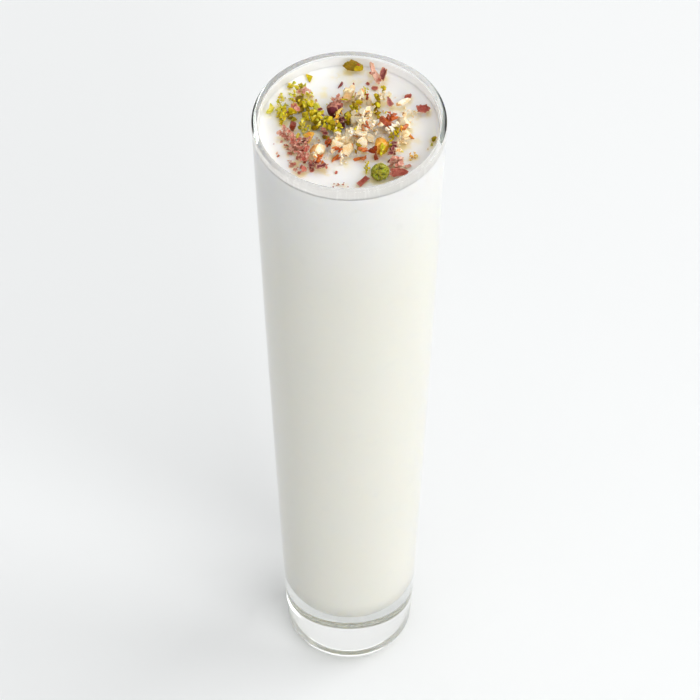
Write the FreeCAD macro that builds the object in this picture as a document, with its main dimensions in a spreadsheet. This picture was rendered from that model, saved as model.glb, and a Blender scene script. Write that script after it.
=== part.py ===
"""Salt lassi in a tall slim glass, topped with chopped nuts and dried rose petals.

Millimetres, +Z up, origin at the centre of the glass's foot. The glass is turned
from its outline, the drink fills it up to the level, and every larger topping is
a solid of its own that sits in a pocket of the heap or of the drink.
"""

import FreeCAD
import Part
import math
import os
import Sketcher

Vector = FreeCAD.Vector

# The glass and the drink, in millimetres.
GLASS_SIZES = {
    "RimDiameter": 56.0,
    "GlassHeight": 245.0,
    "WallThickness": 1.75,
    "WallBulge": 0.25,
    "KneeDiameter": 44.7,
    "KneeHeight": 30.0,
    "FootTaper": 0.336,
    "HeelRadius": 7.0,
    "RingWidth": 1.8,
    "BaseThickness": 22.0,
    "FloorWall": 2.0,
    "FloorCorner": 12.6,
    "PuntSlope": 5.0,
    "PuntDepth": 1.1,
    "HeadSpace": 4.5,
    "MeniscusWidth": 0.9,
    "MeniscusRise": 0.55,
    "EdgeGap": 0.1,
}

# One row for each topping. Angle and Reach place it on the drink's surface, Reach
# being a share of the surface's radius. Turn, Tilt and Roll are degrees about Z, Y
# and X, and Sink is how far its lowest point lies under the level.
TOPPING_FIELDS = ("Length", "Width", "Height", "Angle", "Reach", "Turn", "Tilt", "Roll", "Sink")
TOPPING_ROWS = {
    "PistachioKernel": (5.4, 4.8, 4.6, -64.2, 0.762, 12.0, 8.0, 0.0, 1.3),
    "PistachioChunk": (5.6, 2.8, 3.1, 87.4, 0.935, -6.0, 10.0, 0.0, 0.8),
    "GoldenChunk": (4.4, 3.9, 4.2, -41.8, 0.471, 74.0, -12.0, 0.0, 0.9),
    "GlossyAlmond": (5.4, 3.7, 3.1, 2.9, 0.414, -34.0, 10.0, 0.0, 0.4),
    "HazelnutPiece": (4.7, 3.5, 3.4, 3.0, 0.605, 98.0, 6.0, 0.0, 0.6),
    "AlmondPiece": (4.8, 3.5, 2.8, -133.9, 0.490, 62.0, 0.0, 10.0, 0.6),
    "GoldenBit": (3.4, 2.9, 2.7, -156.9, 0.475, 20.0, 0.0, 0.0, 0.5),
    "RoseBud": (4.3, 3.7, 3.3, 125.5, 0.287, 30.0, 10.0, 6.0, 0.6),
    "AlmondFlakeLeft": (3.4, 2.8, 1.0, -112.6, 0.345, 70.0, -38.0, 12.0, 0.3),
    "AlmondFlakeMiddle": (3.4, 2.6, 1.0, -92.0, 0.350, 96.0, -40.0, -8.0, 0.3),
    "AlmondFlakeRight": (4.2, 2.7, 1.1, -64.0, 0.318, 84.0, -44.0, 6.0, 0.3),
    "AlmondFlakeTop": (4.0, 2.6, 1.0, -41.1, 0.111, 104.0, -30.0, 18.0, 0.3),
    "AlmondShaving": (5.2, 2.3, 0.9, 91.5, 0.498, 72.0, -16.0, 22.0, 0.4),
    "AlmondCrescent": (5.2, 1.7, 0.9, 33.3, 0.709, 24.0, 0.0, 14.0, 0.4),
    "PetalFront": (5.4, 2.8, 0.5, -51.6, 0.866, 2.0, 0.0, 22.0, 0.3),
    "PetalStrip": (4.4, 1.9, 0.5, -78.9, 0.774, 50.0, 0.0, 6.0, 0.2),
    "PetalRight": (3.6, 3.1, 0.5, 19.1, 0.858, 14.0, 6.0, 0.0, 0.25),
    "PetalCurl": (7.0, 1.9, 0.5, 71.8, 0.845, 112.0, -24.0, 20.0, 0.4),
    "PetalRoll": (3.8, 1.8, 0.6, 64.5, 0.885, 70.0, -42.0, 0.0, 0.5),
    "PetalPoint": (3.3, 2.6, 0.5, 40.5, 0.590, 108.0, -20.0, 10.0, 0.3),
    "PetalFold": (3.8, 2.4, 0.5, -115.9, 0.674, 34.0, 10.0, -14.0, 0.3),
    "NutHeap": (33.6, 18.4, 2.6, -80.0, 0.110, 0.0, 0.0, 0.0, 1.0),
    "NutHeapLeft": (13.6, 9.6, 2.5, 151.0, 0.610, -10.0, 0.0, 0.0, 1.0),
}

RIM_OVERSHOOT = 1.0        # how far the cut above the drink passes it and the rim
LIP_ROUNDNESS = 0.46       # height of the lip's arc as a share of the wall: 0.5 is a half circle


# ---------------------------------------------------------------- sheet and sketches

def fill_sheet(document):
    """Write every driving size into one sheet, each cell with its alias."""
    sheet = document.addObject("Spreadsheet::Sheet", "Sizes")
    rows = list(GLASS_SIZES.items())
    for piece, numbers in TOPPING_ROWS.items():
        rows += [(piece + field, number) for field, number in zip(TOPPING_FIELDS, numbers)]
    for row, (alias, number) in enumerate(rows, start=1):
        sheet.set(f"A{row}", alias)
        sheet.set(f"B{row}", str(number))
        sheet.setAlias(f"B{row}", alias)
    document.recompute()
    return sheet


def value(sheet, expression):
    """The number that an expression on the sheet's aliases comes to."""
    return float(sheet.evalExpression(expression))


def origin_plane(body, role):
    """One of the body's own origin planes."""
    return next(plane for plane in body.Origin.OriginFeatures if plane.Role == role)


def upright_sketch(body, name):
    """A sketch on the body's own XZ plane: x is the radius, y the height."""
    sketch = body.newObject("Sketcher::SketchObject", name)
    sketch.AttachmentSupport = (origin_plane(body, "XZ_Plane"), [""])
    sketch.MapMode = "FlatFace"
    return sketch


def pin_coordinate(sketch, edge, end, horizontal, expression, number):
    """Fix an edge's end in one direction, on an axis or at a bound distance."""
    if abs(number) < 1e-9:
        axis = -2 if horizontal else -1
        sketch.addConstraint(Sketcher.Constraint("PointOnObject", edge, end, axis))
        return
    kind = "DistanceX" if horizontal else "DistanceY"
    index = sketch.addConstraint(Sketcher.Constraint(kind, -1, 1, edge, end, number))
    sketch.setExpression(f"Constraints[{index}]", expression)


def draw_outline(sketch, sheet, corners, bulges, smooth=(), loose=()):
    """Draw a closed outline whose corners and arcs follow expressions.

    corners holds (radius, height) expression pairs, counter-clockwise. bulges gives,
    for an edge's number, the expression of how far its arc stands out of the chord,
    less than zero where it bends inwards. smooth lists the corners where two edges
    run on without a kink. The corners in loose, and the arcs that touch one of them
    or end smoothly at both ends, are placed by those tangents.
    """
    points = [Vector(value(sheet, x), value(sheet, y), 0) for x, y in corners]
    count = len(points)
    ends = {}
    for edge in range(count):
        start, end = points[edge], points[(edge + 1) % count]
        ends[edge] = (1, 2)
        if edge not in bulges:
            sketch.addGeometry(Part.LineSegment(start, end))
            continue
        chord = end - start
        outward = Vector(chord.y, -chord.x, 0).normalize()
        bulge = value(sheet, bulges[edge])
        crown = (start + end) * 0.5 + outward * bulge
        if bulge < 0:
            ends[edge] = (2, 1)
            start, end = end, start
        sketch.addGeometry(Part.Arc(start, crown, end))
    for corner in range(count):
        before = (corner - 1) % count
        kind = "Tangent" if corner in smooth else "Coincident"
        sketch.addConstraint(Sketcher.Constraint(kind, before, ends[before][1],
                                                 corner, ends[corner][0]))
        if corner not in loose:
            x, y = corners[corner]
            pin_coordinate(sketch, corner, ends[corner][0], True, x, points[corner].x)
            pin_coordinate(sketch, corner, ends[corner][0], False, y, points[corner].y)
    for edge, bulge in bulges.items():
        following = (edge + 1) % count
        if edge in smooth and following in smooth:
            continue
        (x0, y0), (x1, y1) = corners[edge], corners[following]
        chord_squared = f"(({x1}) - ({x0}))^2 + (({y1}) - ({y0}))^2"
        radius = f"abs({chord_squared}) / (8 * abs({bulge})) + abs({bulge}) / 2"
        index = sketch.addConstraint(Sketcher.Constraint("Radius", edge, value(sheet, radius)))
        sketch.setExpression(f"Constraints[{index}]", radius)


def turn(body, kind, name, sketch):
    """Revolve or groove a sketch right round the vertical axis."""
    feature = body.newObject(kind, name)
    feature.Profile = sketch
    feature.ReferenceAxis = (sketch, ["V_Axis"])
    feature.Angle = 360
    return feature


# ---------------------------------------------------------------- glass and drink

QUARTER_BULGE = "(1 - sqrt(0.5))"
LIP_START = f"(Sizes.GlassHeight - Sizes.WallThickness * {LIP_ROUNDNESS})"
WALL_SLOPE = ("(((Sizes.RimDiameter - Sizes.KneeDiameter) / 2 + 4 * Sizes.WallBulge)"
              f" / ({LIP_START} - Sizes.KneeHeight))")
FOOT_RADIUS = (f"(Sizes.KneeDiameter / 2 - {WALL_SLOPE} * (Sizes.KneeHeight - Sizes.HeelRadius)"
               " - Sizes.FootTaper)")
RING_RADIUS = f"({FOOT_RADIUS} - Sizes.HeelRadius)"
PUNT_RADIUS = f"({RING_RADIUS} - Sizes.RingWidth)"
FLOOR_RADIUS = "(Sizes.KneeDiameter / 2 - Sizes.FloorWall)"
MOUTH_RADIUS = "(Sizes.RimDiameter / 2 - Sizes.WallThickness)"
WALL_FOOT = "(Sizes.BaseThickness + Sizes.FloorCorner)"
LEVEL = "(Sizes.GlassHeight - Sizes.HeadSpace)"
LEVEL_SHARE = f"(({LEVEL} - {WALL_FOOT}) / ({LIP_START} - {WALL_FOOT}))"
SURFACE_RADIUS = (f"({FLOOR_RADIUS} + ({MOUTH_RADIUS} - {FLOOR_RADIUS}) * {LEVEL_SHARE}"
                  f" + 4 * Sizes.WallBulge * {LEVEL_SHARE} * (1 - {LEVEL_SHARE}))")
MENISCUS_RADIUS = ("((Sizes.MeniscusWidth^2 + Sizes.MeniscusRise^2)"
                   " / (2 * Sizes.MeniscusRise))")


def build_glass(document, sheet):
    """Tall tapered glass with a thick base, a round heel, a punt and a round lip."""
    body = document.addObject("PartDesign::Body", "Glass")
    body.Label = "glass"
    outline = upright_sketch(body, "GlassOutline")
    corners = [
        ("0", "Sizes.PuntDepth"),
        (f"{PUNT_RADIUS} - Sizes.PuntSlope", "Sizes.PuntDepth"),
        (PUNT_RADIUS, "0"),
        (RING_RADIUS, "0"),
        (FOOT_RADIUS, "Sizes.HeelRadius"),
        ("Sizes.KneeDiameter / 2", "Sizes.KneeHeight"),
        ("Sizes.RimDiameter / 2", LIP_START),
        (MOUTH_RADIUS, LIP_START),
        (FLOOR_RADIUS, WALL_FOOT),
        (f"{FLOOR_RADIUS} - Sizes.FloorCorner", "Sizes.BaseThickness"),
        ("0", "Sizes.BaseThickness"),
    ]
    punt, heel, flare, wall, lip, inner_wall, floor_corner = 1, 3, 4, 5, 6, 7, 8
    bulges = {
        punt: "-Sizes.PuntDepth / 4",
        heel: f"Sizes.HeelRadius * {QUARTER_BULGE}",
        flare: "Sizes.WallBulge",
        wall: "Sizes.WallBulge",
        lip: f"Sizes.WallThickness * {LIP_ROUNDNESS}",
        inner_wall: "-Sizes.WallBulge",
        floor_corner: f"-Sizes.FloorCorner * {QUARTER_BULGE}",
    }
    draw_outline(outline, sheet, corners, bulges, smooth=(heel, flare, wall), loose=(flare,))
    index = outline.addConstraint(
        Sketcher.Constraint("Radius", heel, value(sheet, "Sizes.HeelRadius")))
    outline.setExpression(f"Constraints[{index}]", "Sizes.HeelRadius")
    turn(body, "PartDesign::Revolution", "GlassTurned", outline)
    document.recompute()
    return body


def build_drink(document, sheet):
    """The drink before the toppings are set in it: level on top, drawn up at the wall."""
    body = document.addObject("PartDesign::Body", "DrinkFill")
    body.Label = "drink_fill"
    filled = upright_sketch(body, "FillOutline")
    corners = [
        ("0", "Sizes.BaseThickness"),
        (f"{FLOOR_RADIUS} - Sizes.FloorCorner", "Sizes.BaseThickness"),
        (FLOOR_RADIUS, WALL_FOOT),
        (MOUTH_RADIUS, LIP_START),
        ("0", LIP_START),
    ]
    bulges = {1: f"Sizes.FloorCorner * {QUARTER_BULGE}", 2: "Sizes.WallBulge"}
    draw_outline(filled, sheet, corners, bulges)
    turn(body, "PartDesign::Revolution", "FillTurned", filled)
    document.recompute()

    surface = upright_sketch(body, "SurfaceOutline")
    flat_radius = f"({SURFACE_RADIUS} - Sizes.MeniscusWidth)"
    outer = f"({flat_radius} + {MENISCUS_RADIUS})"
    clear = f"({outer} + {RIM_OVERSHOOT})"
    top = f"(Sizes.GlassHeight + {RIM_OVERSHOOT})"
    corners = [
        ("0", LEVEL),
        (flat_radius, LEVEL),
        (outer, f"({LEVEL} + {MENISCUS_RADIUS})"),
        (clear, f"({LEVEL} + {MENISCUS_RADIUS})"),
        (clear, top),
        ("0", top),
    ]
    draw_outline(surface, sheet, corners, {1: f"{MENISCUS_RADIUS} * {QUARTER_BULGE}"})
    turn(body, "PartDesign::Groove", "DownToLevel", surface)
    document.recompute()
    return body


# ---------------------------------------------------------------- forms of the toppings

def close_rings(bottom, rings, top):
    """A solid of flat triangles through a stack of rings, closed by two end points."""
    faces = []

    def triangle(a, b, c):
        faces.append(Part.Face(Part.makePolygon([a, b, c, a])))

    count = len(rings[0])
    for i in range(count):
        j = (i + 1) % count
        triangle(bottom, rings[0][j], rings[0][i])
        for low, high in zip(rings, rings[1:]):
            triangle(low[i], low[j], high[j])
            triangle(low[i], high[j], high[i])
        triangle(rings[-1][i], rings[-1][j], top)
    solid = Part.Solid(Part.Shell(faces))
    if solid.Volume < 0:
        solid.reverse()
    return solid


def kernel_form(length, width, height, rings=11, spokes=18):
    """A whole shelled pistachio: a plump oval, wrinkled lengthways, with a seam."""
    wrinkle, seam_depth, seam_width = 0.045, 0.14, 0.32

    def point(along, around):
        ring = math.sin(along) ** 0.86
        seam = seam_depth * math.exp(-((around - math.pi / 2) / seam_width) ** 2)
        folds = math.sin(5 * around + 2.6 * along) + 0.7 * math.sin(8 * around - 3.4 * along)
        swell = ring * (1 + wrinkle * math.sin(along) * folds - seam)
        return Vector(-length / 2 * math.cos(along), width / 2 * swell * math.cos(around),
                      height / 2 * swell * math.sin(around))

    stack = [[point(math.pi * (r + 1) / (rings + 1), 2 * math.pi * s / spokes)
              for s in range(spokes)] for r in range(rings)]
    return close_rings(Vector(-length / 2, 0, 0), stack, Vector(length / 2, 0, 0))


def chopped_form(length, width, height, cuts, rings=9, spokes=16):
    """A chopped nut: an oval cut by flat knife faces, each at a share of the oval's reach.

    cuts holds (azimuth, elevation, share) with angles in degrees.
    """
    half = Vector(length / 2, width / 2, height / 2)
    planes = []
    for azimuth, elevation, share in cuts:
        flat, rise = math.radians(azimuth), math.radians(elevation)
        normal = Vector(math.cos(flat) * math.cos(rise), math.sin(flat) * math.cos(rise),
                        math.sin(rise))
        reach = math.sqrt(sum((half[k] * normal[k]) ** 2 for k in range(3)))
        planes.append((normal, reach * share))

    def point(polar, around):
        way = Vector(half.x * math.sin(polar) * math.cos(around),
                     half.y * math.sin(polar) * math.sin(around), -half.z * math.cos(polar))
        kept = 1.0
        for normal, reach in planes:
            if way.dot(normal) > reach:
                kept = min(kept, reach / way.dot(normal))
        return way * kept

    stack = [[point(math.pi * (r + 1) / (rings + 1), 2 * math.pi * s / spokes)
              for s in range(spokes)] for r in range(rings)]
    return close_rings(point(0, 0), stack, point(math.pi, 0))


def bud_form(length, width, height, rings=9, spokes=25, petals=5):
    """A dried rose bud: petals wrapped round each other, their tips opening at the top."""
    wrap, step, crown = 1.1, 0.17, 0.16

    def point(rise, around):
        body = math.sin(math.pi * (0.12 + 0.70 * rise)) ** 0.75
        turns = petals * around / (2 * math.pi) + wrap * rise
        edge = turns - math.floor(turns)
        swell = body * (1 - step * edge * (0.35 + rise))
        tip = crown * rise ** 3 * math.cos(petals * around + wrap)
        return Vector(length / 2 * swell * math.cos(around), width / 2 * swell * math.sin(around),
                      height * (rise - 0.5 + tip))

    stack = [[point(r / (rings - 1.0), 2 * math.pi * s / spokes) for s in range(spokes)]
             for r in range(rings)]
    return close_rings(Vector(0, 0, -height * 0.54), stack, Vector(0, 0, height * 0.34))


def sheet_form(length, width, thickness, curl, cup, waist, ripple, cells=(7, 4)):
    """A thin curved piece: a petal, a peel or a shaving.

    curl is the angle in degrees that its length bends through, cup how far its long
    edges rise, as a share of the width, waist how narrow its ends are, and ripple the
    height of its wavy edge as a share of the width.
    """
    steps, lanes = cells
    bend = math.radians(curl)
    radius = length / bend

    def point(u, v, side):
        narrow = waist + (1 - waist) * math.sin(math.pi * (0.06 + 0.88 * u)) ** 0.8
        wave = ripple * width * v * v * math.sin(9 * u + 4 * v)
        across = width / 2 * narrow * v
        angle = bend * (u - 0.5)
        lift = cup * width * v * v + wave + side * thickness / 2
        return Vector((radius + lift) * math.sin(angle), across,
                      radius - (radius - lift) * math.cos(angle))

    stack = []
    for k in range(steps + 1):
        u = k / steps
        lower = [point(u, -1 + 2 * i / lanes, -1) for i in range(lanes + 1)]
        upper = [point(u, 1 - 2 * i / lanes, 1) for i in range(lanes + 1)]
        stack.append(lower + upper)
    ends = []
    for section in (stack[0], stack[-1]):
        middle = Vector(0, 0, 0)
        for corner in section:
            middle = middle + corner * (1.0 / len(section))
        ends.append(middle)
    return close_rings(ends[0], stack, ends[1])


def heap_form(length, width, height, sink, lobes, rings, spokes):
    """A low heap of chopped nuts: uneven in outline, lumpy on top, flat underneath.

    lobes holds (waves round the heap, share of the radius, phase) for its outline.
    """
    lump_size, lump_height, shoulder = 1.15, 0.20, 0.24

    def reach(around):
        return 1 + sum(share * math.sin(waves * around + phase) for waves, share, phase in lobes)

    def place(share, around, z):
        radius = share * reach(around)
        return Vector(length / 2 * radius * math.cos(around),
                      width / 2 * radius * math.sin(around), z)

    def top(share, around):
        spot = place(share, around, 0)
        lumps = math.sin(spot.x * lump_size) * math.cos(spot.y * lump_size + 0.6)
        lumps += 0.6 * math.sin(lump_size * (0.7 * spot.x - spot.y) + 1.2)
        dome = (1 - share ** 2.6) ** 0.8
        spot.z = height * (shoulder + (1 - shoulder) * dome * (0.78 + lump_height * lumps))
        return spot

    angles = [2 * math.pi * s / spokes for s in range(spokes)]
    under = [place(1, around, -sink) for around in angles]
    stack = [under] + [[top((rings - r) / rings, around) for around in angles]
                       for r in range(rings)]
    return close_rings(Vector(0, 0, -sink), stack, top(0, 0))


# ---------------------------------------------------------------- placing the toppings

def topping_size(sheet, piece, field):
    """One number of a topping's row."""
    return value(sheet, f"Sizes.{piece}{field}")


def seat_on_surface(sheet, piece, shape):
    """Turn a topping, sink it under the level and keep it off the drink's raised edge."""
    turned = FreeCAD.Rotation(topping_size(sheet, piece, "Turn"),
                              topping_size(sheet, piece, "Tilt"),
                              topping_size(sheet, piece, "Roll"))
    angle = math.radians(topping_size(sheet, piece, "Angle"))
    outward = Vector(math.cos(angle), math.sin(angle), 0)
    sideways = Vector(-outward.y, outward.x, 0)
    corners = [turned.multVec(corner.Point) for corner in shape.Vertexes]
    surface = value(sheet, SURFACE_RADIUS)
    free = surface - value(sheet, "Sizes.MeniscusWidth + Sizes.EdgeGap")
    farthest = min(math.sqrt(max(free ** 2 - corner.dot(sideways) ** 2, 0)) - corner.dot(outward)
                   for corner in corners)
    distance = min(topping_size(sheet, piece, "Reach") * surface, farthest)
    lowest = min(corner.z for corner in corners)
    base = outward * distance
    base.z = value(sheet, LEVEL) - topping_size(sheet, piece, "Sink") - lowest
    return FreeCAD.Placement(base, turned)


def add_topping(document, sheet, piece, label, shape):
    """A topping as an object of the document, on the surface of the drink."""
    feature = document.addObject("Part::Feature", piece)
    feature.Label = label
    feature.Shape = shape
    feature.Placement = seat_on_surface(sheet, piece, shape)
    return feature


def set_into(document, name, label, base, pieces):
    """Cut the pockets of the pieces that reach into base; base itself if none do."""
    reaching = [piece for piece in pieces if overlap(base.Shape, piece.Shape)]
    if not reaching:
        return base
    tools = document.addObject("Part::Compound", f"{name}PocketTools")
    tools.Links = reaching
    cut = document.addObject("Part::Cut", f"{name}Pockets")
    cut.Base = base
    cut.Tool = tools
    base.Label = f"{label}_whole"
    cut.Label = label
    document.recompute()
    return cut


def overlap(shape, other):
    """Whether the boxes of two shapes meet."""
    return shape.BoundBox.intersect(other.BoundBox)


def solid_of(document, sheet, piece, label, form, *shape_arguments, **options):
    """Make one topping from its row's three sizes and a form."""
    sizes = [topping_size(sheet, piece, field) for field in ("Length", "Width", "Height")]
    return add_topping(document, sheet, piece, label, form(*sizes, *shape_arguments, **options))


def build_nuts(document, sheet):
    """The kernel and the chopped pieces that are large enough to be single things."""
    chunk_cuts = [(20, 50, 0.62), (165, 35, 0.66), (-80, 10, 0.72), (95, -15, 0.78)]
    golden_cuts = [(0, 40, 0.70), (120, 20, 0.68), (235, 30, 0.74), (60, -30, 0.80)]
    skin_cuts = [(90, 5, 0.66), (-60, 40, 0.74), (200, 25, 0.72)]
    half_cuts = [(0, -90, 0.30), (180, 15, 0.74), (-40, 30, 0.82)]
    almond_cuts = [(150, 60, 0.60), (-20, 50, 0.72), (270, 0, 0.76)]
    bit_cuts = [(10, 10, 0.7), (130, 35, 0.66), (250, 5, 0.72), (60, 70, 0.7)]
    return [
        solid_of(document, sheet, "PistachioKernel", "pistachio_kernel", kernel_form),
        solid_of(document, sheet, "PistachioChunk", "pistachio_chunk", chopped_form, chunk_cuts),
        solid_of(document, sheet, "GoldenChunk", "golden_chunk", chopped_form, golden_cuts),
        solid_of(document, sheet, "GlossyAlmond", "glossy_almond", chopped_form, skin_cuts),
        solid_of(document, sheet, "HazelnutPiece", "hazelnut_piece", chopped_form, half_cuts),
        solid_of(document, sheet, "AlmondPiece", "almond_piece", chopped_form, almond_cuts),
        solid_of(document, sheet, "GoldenBit", "golden_bit", chopped_form, bit_cuts, 7, 12),
    ]


def build_petals(document, sheet):
    """The rose bud, the loose petals, and the shaved almond."""
    pieces = [solid_of(document, sheet, "RoseBud", "rose_bud", bud_form)]
    # curl in degrees, cup, waist, ripple
    sheets = {
        "AlmondFlakeLeft": ("almond_flake_left", (30, 0.05, 0.50, 0.03)),
        "AlmondFlakeMiddle": ("almond_flake_middle", (24, 0.04, 0.46, 0.03)),
        "AlmondFlakeRight": ("almond_flake_right", (34, 0.05, 0.42, 0.03)),
        "AlmondFlakeTop": ("almond_flake_top", (20, 0.05, 0.50, 0.03)),
        "AlmondShaving": ("almond_shaving", (46, 0.10, 0.30, 0.04)),
        "AlmondCrescent": ("almond_crescent", (70, 0.10, 0.18, 0.03)),
        "PetalFront": ("petal_front", (40, 0.12, 0.35, 0.12)),
        "PetalStrip": ("petal_strip", (14, 0.05, 0.80, 0.05)),
        "PetalRight": ("petal_right", (30, 0.08, 0.50, 0.10)),
        "PetalCurl": ("petal_curl", (62, 0.22, 0.25, 0.08)),
        "PetalRoll": ("petal_roll", (36, 0.34, 0.45, 0.06)),
        "PetalPoint": ("petal_point", (26, 0.14, 0.12, 0.10)),
        "PetalFold": ("petal_fold", (48, 0.16, 0.30, 0.12)),
    }
    for piece, (label, bends) in sheets.items():
        pieces.append(solid_of(document, sheet, piece, label, sheet_form, *bends))
    return pieces


def part_neighbours(document, pieces):
    """Cut each piece back by the earlier ones that it would pass through."""
    kept = []
    for piece in pieces:
        kept.append(set_into(document, piece.Name, piece.Label, piece, kept))
    return kept


def build_heaps(document, sheet, settled):
    """The two heaps of chopped nuts, with a pocket for each larger piece in them."""
    heaps = []
    outlines = {
        "NutHeap": ("nut_heap", [(2, 0.05, 0.4), (3, 0.07, 1.0), (5, 0.05, 2.2), (9, 0.04, 0.7)],
                    9, 36),
        "NutHeapLeft": ("nut_heap_left", [(2, 0.07, 2.0), (3, 0.09, 0.3), (7, 0.05, 1.4)], 6, 26),
    }
    for piece, (label, lobes, rings, spokes) in outlines.items():
        shape = heap_form(*[topping_size(sheet, piece, field)
                            for field in ("Length", "Width", "Height", "Sink")],
                          lobes, rings, spokes)
        heap = add_topping(document, sheet, piece, label, shape)
        heaps.append(set_into(document, piece, label, heap, settled + heaps))
    return heaps


# ---------------------------------------------------------------- document

def check_document(document):
    """Stop if an object failed to compute."""
    for item in document.Objects:
        failed = [state for state in item.State if state in ("Invalid", "Error")]
        if failed:
            raise RuntimeError(f"{item.Name}: {failed}")


def check_shape(feature):
    """Stop if a sub-part isn't one valid solid."""
    shape = feature.Shape
    if shape.isNull() or not shape.isValid() or len(shape.Solids) != 1:
        raise RuntimeError(f"{feature.Label}: shape isn't one valid solid"
                           f" ({len(shape.Solids)} solids, valid {shape.isValid()})")


def main():
    """Build the document, check it and write one STEP file for each sub-part."""
    document = FreeCAD.newDocument("Lassi")
    sheet = fill_sheet(document)
    glass = build_glass(document, sheet)
    fill = build_drink(document, sheet)
    toppings = part_neighbours(document, build_nuts(document, sheet)
                               + build_petals(document, sheet))
    toppings += build_heaps(document, sheet, toppings)
    drink = set_into(document, "Lassi", "lassi", fill, toppings)
    document.recompute()
    check_document(document)

    os.makedirs("parts", exist_ok=True)
    for feature in [glass, drink] + toppings:
        check_shape(feature)
        feature.Shape.exportStep(f"parts/{feature.Label}.step")
        box = feature.Shape.BoundBox
        print(f"{feature.Label}: {feature.Shape.Volume:.1f} mm3, faces {len(feature.Shape.Faces)},"
              f" z {box.ZMin:.2f} to {box.ZMax:.2f}")


main()
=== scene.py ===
"""Salt lassi in a tall slim glass, dressed with chopped nuts and dried rose petals.
"""

import logging
import math
import random
from collections.abc import Callable, Iterator, Sequence
from contextlib import contextmanager
from dataclasses import dataclass, field, replace
from enum import Enum
from typing import Any, NamedTuple, Union

import bpy
import numpy as np
from mathutils import Euler, Matrix, Vector, noise

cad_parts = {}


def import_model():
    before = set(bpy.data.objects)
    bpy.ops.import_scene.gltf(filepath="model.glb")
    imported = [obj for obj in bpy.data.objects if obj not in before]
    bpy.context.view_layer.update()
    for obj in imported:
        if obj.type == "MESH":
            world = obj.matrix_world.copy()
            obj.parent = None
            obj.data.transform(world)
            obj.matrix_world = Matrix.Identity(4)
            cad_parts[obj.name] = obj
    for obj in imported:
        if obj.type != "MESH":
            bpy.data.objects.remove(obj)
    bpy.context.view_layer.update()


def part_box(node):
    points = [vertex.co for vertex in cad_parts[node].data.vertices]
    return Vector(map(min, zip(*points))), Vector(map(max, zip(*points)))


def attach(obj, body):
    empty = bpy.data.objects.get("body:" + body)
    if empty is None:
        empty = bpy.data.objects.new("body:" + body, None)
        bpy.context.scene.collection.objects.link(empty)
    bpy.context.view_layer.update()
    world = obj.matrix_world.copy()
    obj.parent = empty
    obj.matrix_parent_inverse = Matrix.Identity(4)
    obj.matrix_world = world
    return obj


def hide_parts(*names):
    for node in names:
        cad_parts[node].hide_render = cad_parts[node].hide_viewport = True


MM = 0.001
ROOT = "root"
LOG = logging.getLogger("salt_lassi")
GOLDEN_ANGLE = 137.5

Piece = bpy.types.Object
Material = bpy.types.Material
Colour = tuple[float, float, float, float]
Point = tuple[float, float]
Triple = tuple[float, float, float]
Ramp = tuple[tuple[float, Colour], ...]


# ------------------------------------------------------------------ small helpers

def srgb(red: int, green: int, blue: int) -> Colour:
    """A colour as a screen names it, turned into the linear values a shader takes.

    Args:
        red: Red, from 0 to 255.
        green: Green, likewise.
        blue: Blue, likewise.

    Returns:
        The linear colour, with nothing let through.
    """
    def linear(part: int) -> float:
        """One channel."""
        share = part / 255
        return share / 12.92 if share <= 0.04045 else ((share + 0.055) / 1.055) ** 2.4
    return (linear(red), linear(green), linear(blue), 1.0)


def arc(centre: Point, radius: float, start: float, end: float, steps: int) -> list[Point]:
    """Points along an arc.

    Args:
        centre: The arc's centre, as radius and height.
        radius: The arc's own radius.
        start: First angle in degrees, from the outward direction upwards.
        end: Last angle in degrees.
        steps: How many straight steps it is drawn in.

    Returns:
        The points, both ends included.
    """
    angles = [math.radians(start + (end - start) * i / steps) for i in range(steps + 1)]
    return [(centre[0] + radius * math.cos(a), centre[1] + radius * math.sin(a)) for a in angles]


def bowed(start: Point, end: Point, bulge: float, steps: int) -> list[Point]:
    """Points between two ends along a slightly bowed line, the ends left out.

    Args:
        start: The first end, as radius and height.
        end: The last end.
        bulge: How far the middle stands out.
        steps: How many straight steps the whole line has.

    Returns:
        The points between the ends.
    """
    along = (end[0] - start[0], end[1] - start[1])
    length = math.hypot(*along)
    side = (abs(along[1]) / length, -math.copysign(along[0] / length, along[1] * along[0]))
    points = []
    for i in range(1, steps):
        t = i / steps
        lift = 4 * bulge * t * (1 - t)
        points.append((start[0] + along[0] * t + side[0] * lift,
                       start[1] + along[1] * t + side[1] * lift))
    return points


def wave(x: float, y: float, z: float) -> float:
    """Smooth noise at a place, between -1 and 1."""
    return noise.noise(Vector((x, y, z)))


def put_away() -> None:
    """Leave edit mode and select nothing."""
    active = bpy.context.view_layer.objects.active
    if active is not None and active.mode != "OBJECT":
        bpy.ops.object.mode_set(mode="OBJECT")
    bpy.ops.object.select_all(action="DESELECT")


def pick(piece: Piece) -> None:
    """Select one piece alone and make it the active one.

    Args:
        piece: The piece.
    """
    put_away()
    piece.select_set(True)
    bpy.context.view_layer.objects.active = piece


def named(name: str) -> Piece:
    """Name the piece that was added last.

    Args:
        name: Its name.

    Returns:
        The piece.
    """
    piece = bpy.context.active_object
    piece.name = piece.data.name = name
    return piece


def ball(name: str, fineness: int) -> Piece:
    """Add a ball of triangles, one unit across.

    Args:
        name: Name of the piece.
        fineness: How often its faces are divided.

    Returns:
        The ball.
    """
    put_away()
    bpy.ops.mesh.primitive_ico_sphere_add(subdivisions=fineness, radius=0.5)
    return named(name)


def grid(name: str, columns: int, rows: int) -> Piece:
    """Add a flat grid that reaches from -1 to 1 both ways.

    Args:
        name: Name of the piece.
        columns: Its columns of faces.
        rows: Its rows of faces.

    Returns:
        The grid.
    """
    put_away()
    bpy.ops.mesh.primitive_grid_add(x_subdivisions=columns, y_subdivisions=rows, size=2)
    return named(name)


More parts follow.
